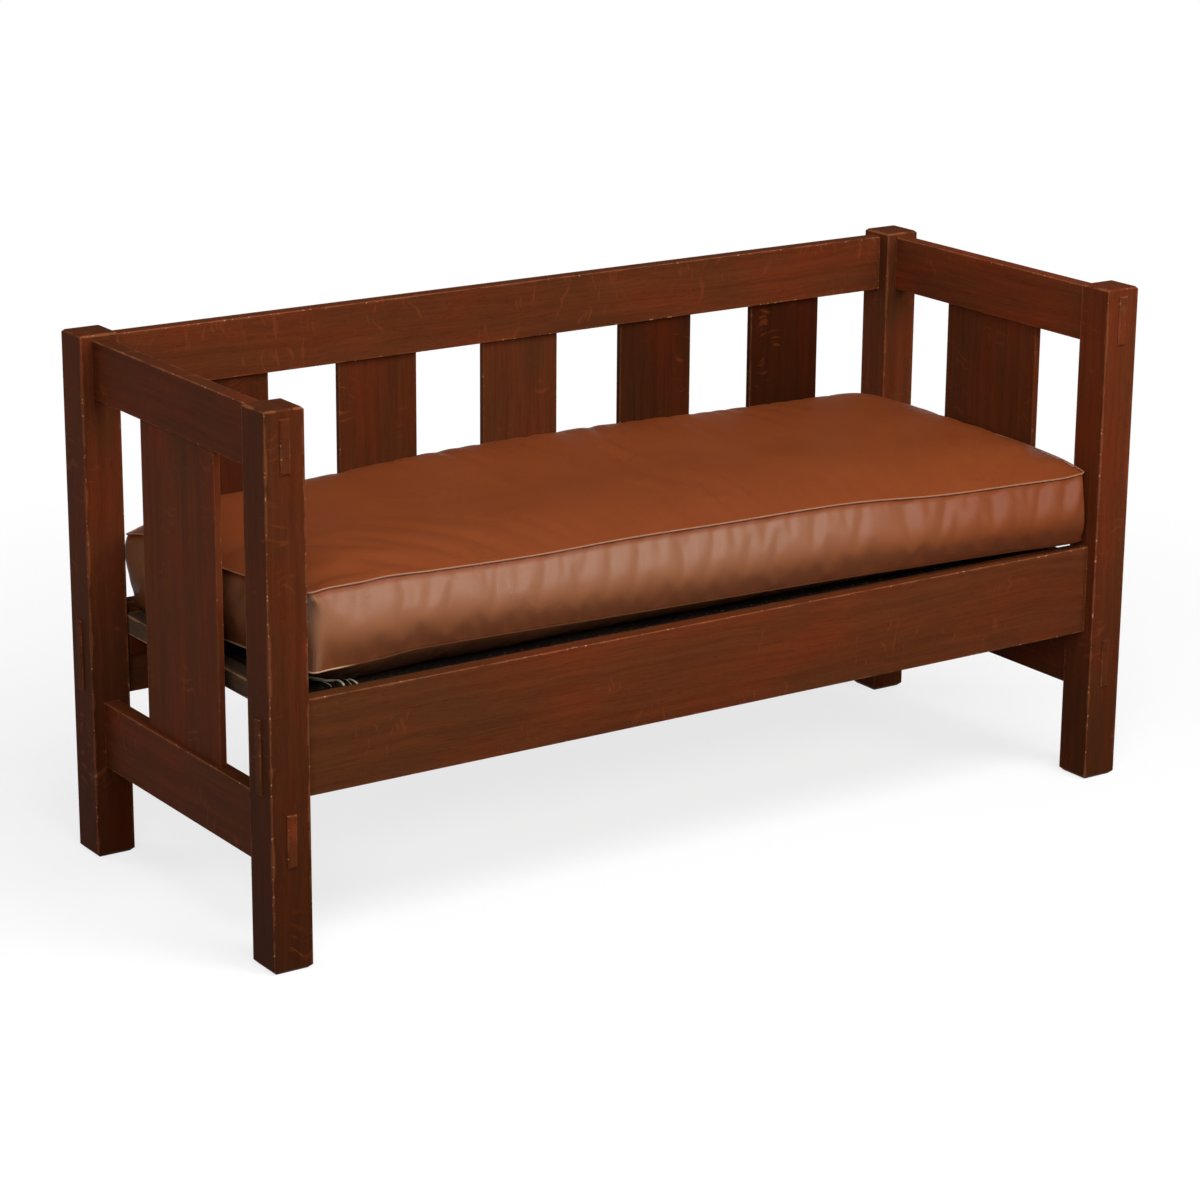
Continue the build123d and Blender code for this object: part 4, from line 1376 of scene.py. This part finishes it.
def swell(distance, roll, power):
    """Rises from 0 at the seam to 1 where the roll ends, the steeper at first for more power."""
    return 1 - (1 - min(1.0, distance / roll)) ** power


def panel_point(panel, sides, i, j, crown):
    """A point of the top, lifted by the crown, or of the bottom, let down to the seat."""
    spot = patch(sides, i, j)
    ends = min(i / LONG_COUNT, 1 - i / LONG_COUNT) * (RIGHT - LEFT)
    front, back = j / END_COUNT * (BACK - FRONT), (1 - j / END_COUNT) * (BACK - FRONT)
    if panel == TOP:
        across = min(swell(front, *FRONT_ROLL), swell(back, *BACK_ROLL))
        spot.z += crown * across * swell(ends, *END_ROLL)
    else:
        floor_level = REST - sag(spot.x, spot.y)
        fall = swell(min(front, back), *LOW_ROLL) * swell(ends, *LOW_END_ROLL)
        spot.z = max(floor_level, spot.z - (spot.z - floor_level) * min(1.0, fall * 1.04))
    return spot


def lifted_sides(sides, table):
    return [[Vector((p.x, p.y, seam_height(table, q.x, q.y))) for p, q in zip(side, plan)]
            for side, plan in zip(sides, top_sides)]


def build_panels(crown):
    """The points and faces of both panels, each point's value down, and both seams' points."""
    rims = lifted_sides(top_sides, TOP_SEAM), lifted_sides(offset_sides(1.0), LOW_SEAM)
    points, downs, faces, index = [], [], [], {}
    for panel, sides in enumerate(rims):
        for j in range(END_COUNT + 1):
            for i in range(LONG_COUNT + 1):
                index[panel, i, j] = len(points)
                points.append(panel_point(panel, sides, i, j, crown))
                inside = 0 < i < LONG_COUNT and 0 < j < END_COUNT
                downs.append(panel * (2.0 if inside else 1.0))
    for panel in (TOP, BOTTOM):
        for j in range(END_COUNT):
            for i in range(LONG_COUNT):
                quad = [index[panel, i + a, j + b] for a, b in ((0, 0), (1, 0), (1, 1), (0, 1))]
                faces.append(quad if panel == TOP else quad[::-1])
    around = [(i, 0) for i in range(LONG_COUNT)] + [(LONG_COUNT, j) for j in range(END_COUNT)]
    around += [(LONG_COUNT - i, END_COUNT) for i in range(LONG_COUNT)]
    around += [(0, END_COUNT - j) for j in range(END_COUNT)]
    top, low = [[index[panel, i, j] for i, j in around] for panel in (TOP, BOTTOM)]
    return points, downs, faces, top, low


print("each panel has", LONG_COUNT * END_COUNT, "faces")

# %% [markdown]
# ## The whole case
#
# The boxing's rows go between the two seams and close the case. With a slack under 1 the same
# points make a case that isn't quite filled, which the next step needs.

# %% Cushion mesh
def build_cushion(crown, slack=1.0):
    """The case's points and faces, both seams' points, and each point's value down."""
    points, downs, faces, top, low = build_panels(crown)
    run, runs = 0.0, []
    for k in range(len(top)):
        runs.append(run)
        run += (points[top[(k + 1) % len(top)]] - points[top[k]]).length
    ring = [top]
    for row in range(1, BOXING_ROWS):
        share, line = row / BOXING_ROWS, []
        hollow = (1 - slack) * math.sin(math.pi * share)
        gathered = boxing_line(
            share, lambda k, out: pucker(runs[k], share) * min(1.0, loop_depth[k] / 0.012) - hollow * out)
        for k, spot in enumerate(gathered):
            height = points[top[k]].z + (points[low[k]].z - points[top[k]].z) * share
            line.append(len(points))
            points.append(spot.to_3d() + Vector((0, 0, height)))
            downs.append(share)
        ring.append(line)
    ring.append(low)
    for upper, lower in zip(ring, ring[1:]):
        for k in range(len(upper)):
            n = (k + 1) % len(upper)
            faces.append((upper[k], lower[k], lower[n], upper[n]))
    return points, faces, top, low, downs


CROWN = 0.0262
points, faces, top_rim, low_rim, downs = build_cushion(CROWN)
mesh = bpy.data.meshes.new("box_cushion")
mesh.from_pydata(points, [], faces)
mesh.polygons.foreach_set("use_smooth", [True] * len(mesh.polygons))
cushion = new_piece("box_cushion", mesh, "cushion", leather)
print("cushion:", len(points), "points,", len(faces), "faces")

# %% [markdown]
# ## Filling the case
#
# The drawn shape is smooth, and a filled leather case isn't. So a second case with the same
# points starts a little slack and is blown up from inside, held along both seams: the
# pressure swells the panels, and leather that can't stretch evenly folds where the seams
# hold it. The broad swelling is averaged away, and the folds that are left are laid on the
# drawn shape, so the cushion keeps its outline. Nothing goes below the seat or into the
# posts.

# %% Swelling under pressure
def blow_up(piece, slack_points, held, frames=20):
    """How far each point moves when the slack case is put under pressure."""
    for vertex, spot in zip(piece.data.vertices, slack_points):
        vertex.co = spot
    piece.vertex_groups.new(name="seams").add(held, 1.0, "REPLACE")
    cloth = piece.modifiers.new("pressure", "CLOTH")
    rules = cloth.settings
    rules.quality, rules.mass = 6, 0.4
    rules.tension_stiffness = rules.compression_stiffness = 25
    rules.shear_stiffness, rules.bending_stiffness = 8, 3
    rules.use_pressure, rules.uniform_pressure_force = True, 4
    rules.effector_weights.gravity = 0
    rules.vertex_group_mass = "seams"
    rules.shrink_min = -0.012
    cloth.point_cache.frame_start, cloth.point_cache.frame_end = 1, frames
    for number in range(1, frames + 1):
        scene.frame_set(number)
    shown = piece.evaluated_get(bpy.context.evaluated_depsgraph_get()).data
    moves = [v.co - spot for v, spot in zip(shown.vertices, slack_points)]
    piece.modifiers.remove(cloth)
    piece.vertex_groups.clear()
    scene.frame_set(1)
    return moves


def averaged(mesh, moves, held, passes=16):
    """The broad part of the moves: each point takes the mean of its neighbours, over and over."""
    beside = [[] for _ in moves]
    for edge in mesh.edges:
        p, q = edge.vertices
        beside[p].append(q)
        beside[q].append(p)
    held, broad = set(held), moves
    for _ in range(passes):
        broad = [
            Vector() if k in held else sum((broad[n] for n in near), Vector()) / len(near)
            for k, near in enumerate(beside)
        ]
    return broad


print("pressure helpers ready")

# %% Folds
SLACK_CROWN, SLACK_BOXING = 0.80, 0.60
TOP_FOLDS, DEEPEST_FOLD = 0.7, 0.006
POST_REACH_Y, POST_FACE_X, SLAT_FACE_Y = 0.219, 0.6525, 0.2385

rims = sorted(set(top_rim) | set(low_rim))
slack_points = build_cushion(CROWN * SLACK_CROWN, SLACK_BOXING)[0]
moves = blow_up(cushion, slack_points, rims)
broad_moves = averaged(cushion.data, moves, rims)
deepest = 0.0
for vertex, drawn, down, move, broad in zip(
        cushion.data.vertices, points, downs, moves, broad_moves):
    fold = (move - broad) * (TOP_FOLDS if down == 0 else 1.0)
    limit = DEEPEST_FOLD * math.tanh(fold.length / DEEPEST_FOLD)
    spot = drawn + fold * (limit / max(fold.length, 1e-9))
    spot.z = max(spot.z, REST - sag(spot.x, spot.y))
    if abs(spot.y) > POST_REACH_Y:
        spot.x = max(-POST_FACE_X, min(POST_FACE_X, spot.x))
    spot.y = min(spot.y, SLAT_FACE_Y)
    vertex.co = spot
    deepest = max(deepest, (spot - drawn).length)
print("largest move under pressure:", round(max(m.length for m in moves) * 1000, 1),
      "mm; deepest fold laid on:", round(deepest * 1000, 1), "mm")
points = [v.co.copy() for v in cushion.data.vertices]

# %% [markdown]
# ## Crisp seams and a finer mesh
#
# A Subdivision Surface rounds the folds but would round the seams too, so the seams' edges
# get a full crease first, and are marked sharp afterwards. The two values that the leather
# reads are stored on the points before that, so that the finer mesh gets them as well.

# %% Crisp seams and a finer mesh
def corner_rub_and_highlight(spot):
    """Lighter leather down the front left edge, most at its top: wear and a painted highlight."""
    if spot.y > -0.225 or spot.x > -0.60:
        return 0.0
    top = ease((spot.z - 0.455) / 0.03)
    near = math.exp(-(((spot.x + 0.629 + 0.006 * top) / 0.0055) ** 2))
    return near * (0.22 + 0.5 * top) * ease((0.4905 - spot.z) / 0.006)


seam_edges = {
    tuple(sorted(pair)) for rim in (top_rim, low_rim) for pair in zip(rim, rim[1:] + rim[:1])
}
store_value(cushion.data, "rub", [corner_rub_and_highlight(v.co) for v in cushion.data.vertices])
store_value(cushion.data, "down", downs)
crease = cushion.data.attributes.new("crease_edge", "FLOAT", "EDGE")
crease.data.foreach_set(
    "value", [1.0 if tuple(sorted(edge.vertices)) in seam_edges else 0.0 for edge in cushion.data.edges]
)
finer = cushion.modifiers.new("finer", "SUBSURF")
finer.levels = finer.render_levels = 1
apply_modifiers(cushion)
sewn = bmesh.new()
sewn.from_mesh(cushion.data)
for edge in sewn.edges:
    edge.smooth = not (edge.is_manifold and edge.calc_face_angle(0.0) > math.radians(20))
print("sharp edges along the seams:", sum(not edge.smooth for edge in sewn.edges))
sewn.to_mesh(cushion.data)
sewn.free()
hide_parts("cushion_cover", "cushion_core")
heights = [v.co.z for v in cushion.data.vertices]
print("cushion from", round(min(heights), 4), "to", round(max(heights), 4), "m;",
      len(cushion.data.polygons), "faces")

# %% [markdown]
# ## Welts
#
# A thin cord covered in the same leather is sewn into both seams. The upper one is painted
# pale, partly as rubbed wear and partly as a painted highlight, and it is the fine light
# line along the cushion's front edge. The lower one is painted dark, as shade under the
# cushion, but for its left end. Both follow the seam's own points, a little proud.

# %% Welts
WELT_RADIUS, WELT_PROUD, WELT_SIDES = 0.0012, 0.0009, 8
# The upper welt's paleness is wear and painted highlight; the lower welt's down value gives it painted
# shade.
TOP_WELT_RUB_AND_HIGHLIGHT, LOW_RUB, LOW_WELT_SHADE = 0.30, 0.6, 1.65


def welt_route(rim, lift):
    return [points[k] + (n * WELT_PROUD).to_3d() + Vector((0, 0, lift)) for k, n in zip(rim, loop_normals)]


routes = (welt_route(top_rim, 0.0010), welt_route(low_rim, -0.0004))
mesh = tube_mesh("cushion_welts", [(route, WELT_RADIUS, True) for route in routes], WELT_SIDES)
upper, rubs, levels = len(top_rim) * WELT_SIDES, [], []
for k, vertex in enumerate(mesh.vertices):
    at_left_end = ease((-0.57 - vertex.co.x) / 0.03) * (vertex.co.y < 0)
    rubs.append(TOP_WELT_RUB_AND_HIGHLIGHT if k < upper else LOW_RUB * at_left_end)
    levels.append(0.0 if k < upper else LOW_WELT_SHADE)
store_value(mesh, "rub", rubs)
store_value(mesh, "down", levels)
new_piece("cushion_welts", mesh, "cushion", leather)
print("welts:", len(mesh.polygons), "faces")
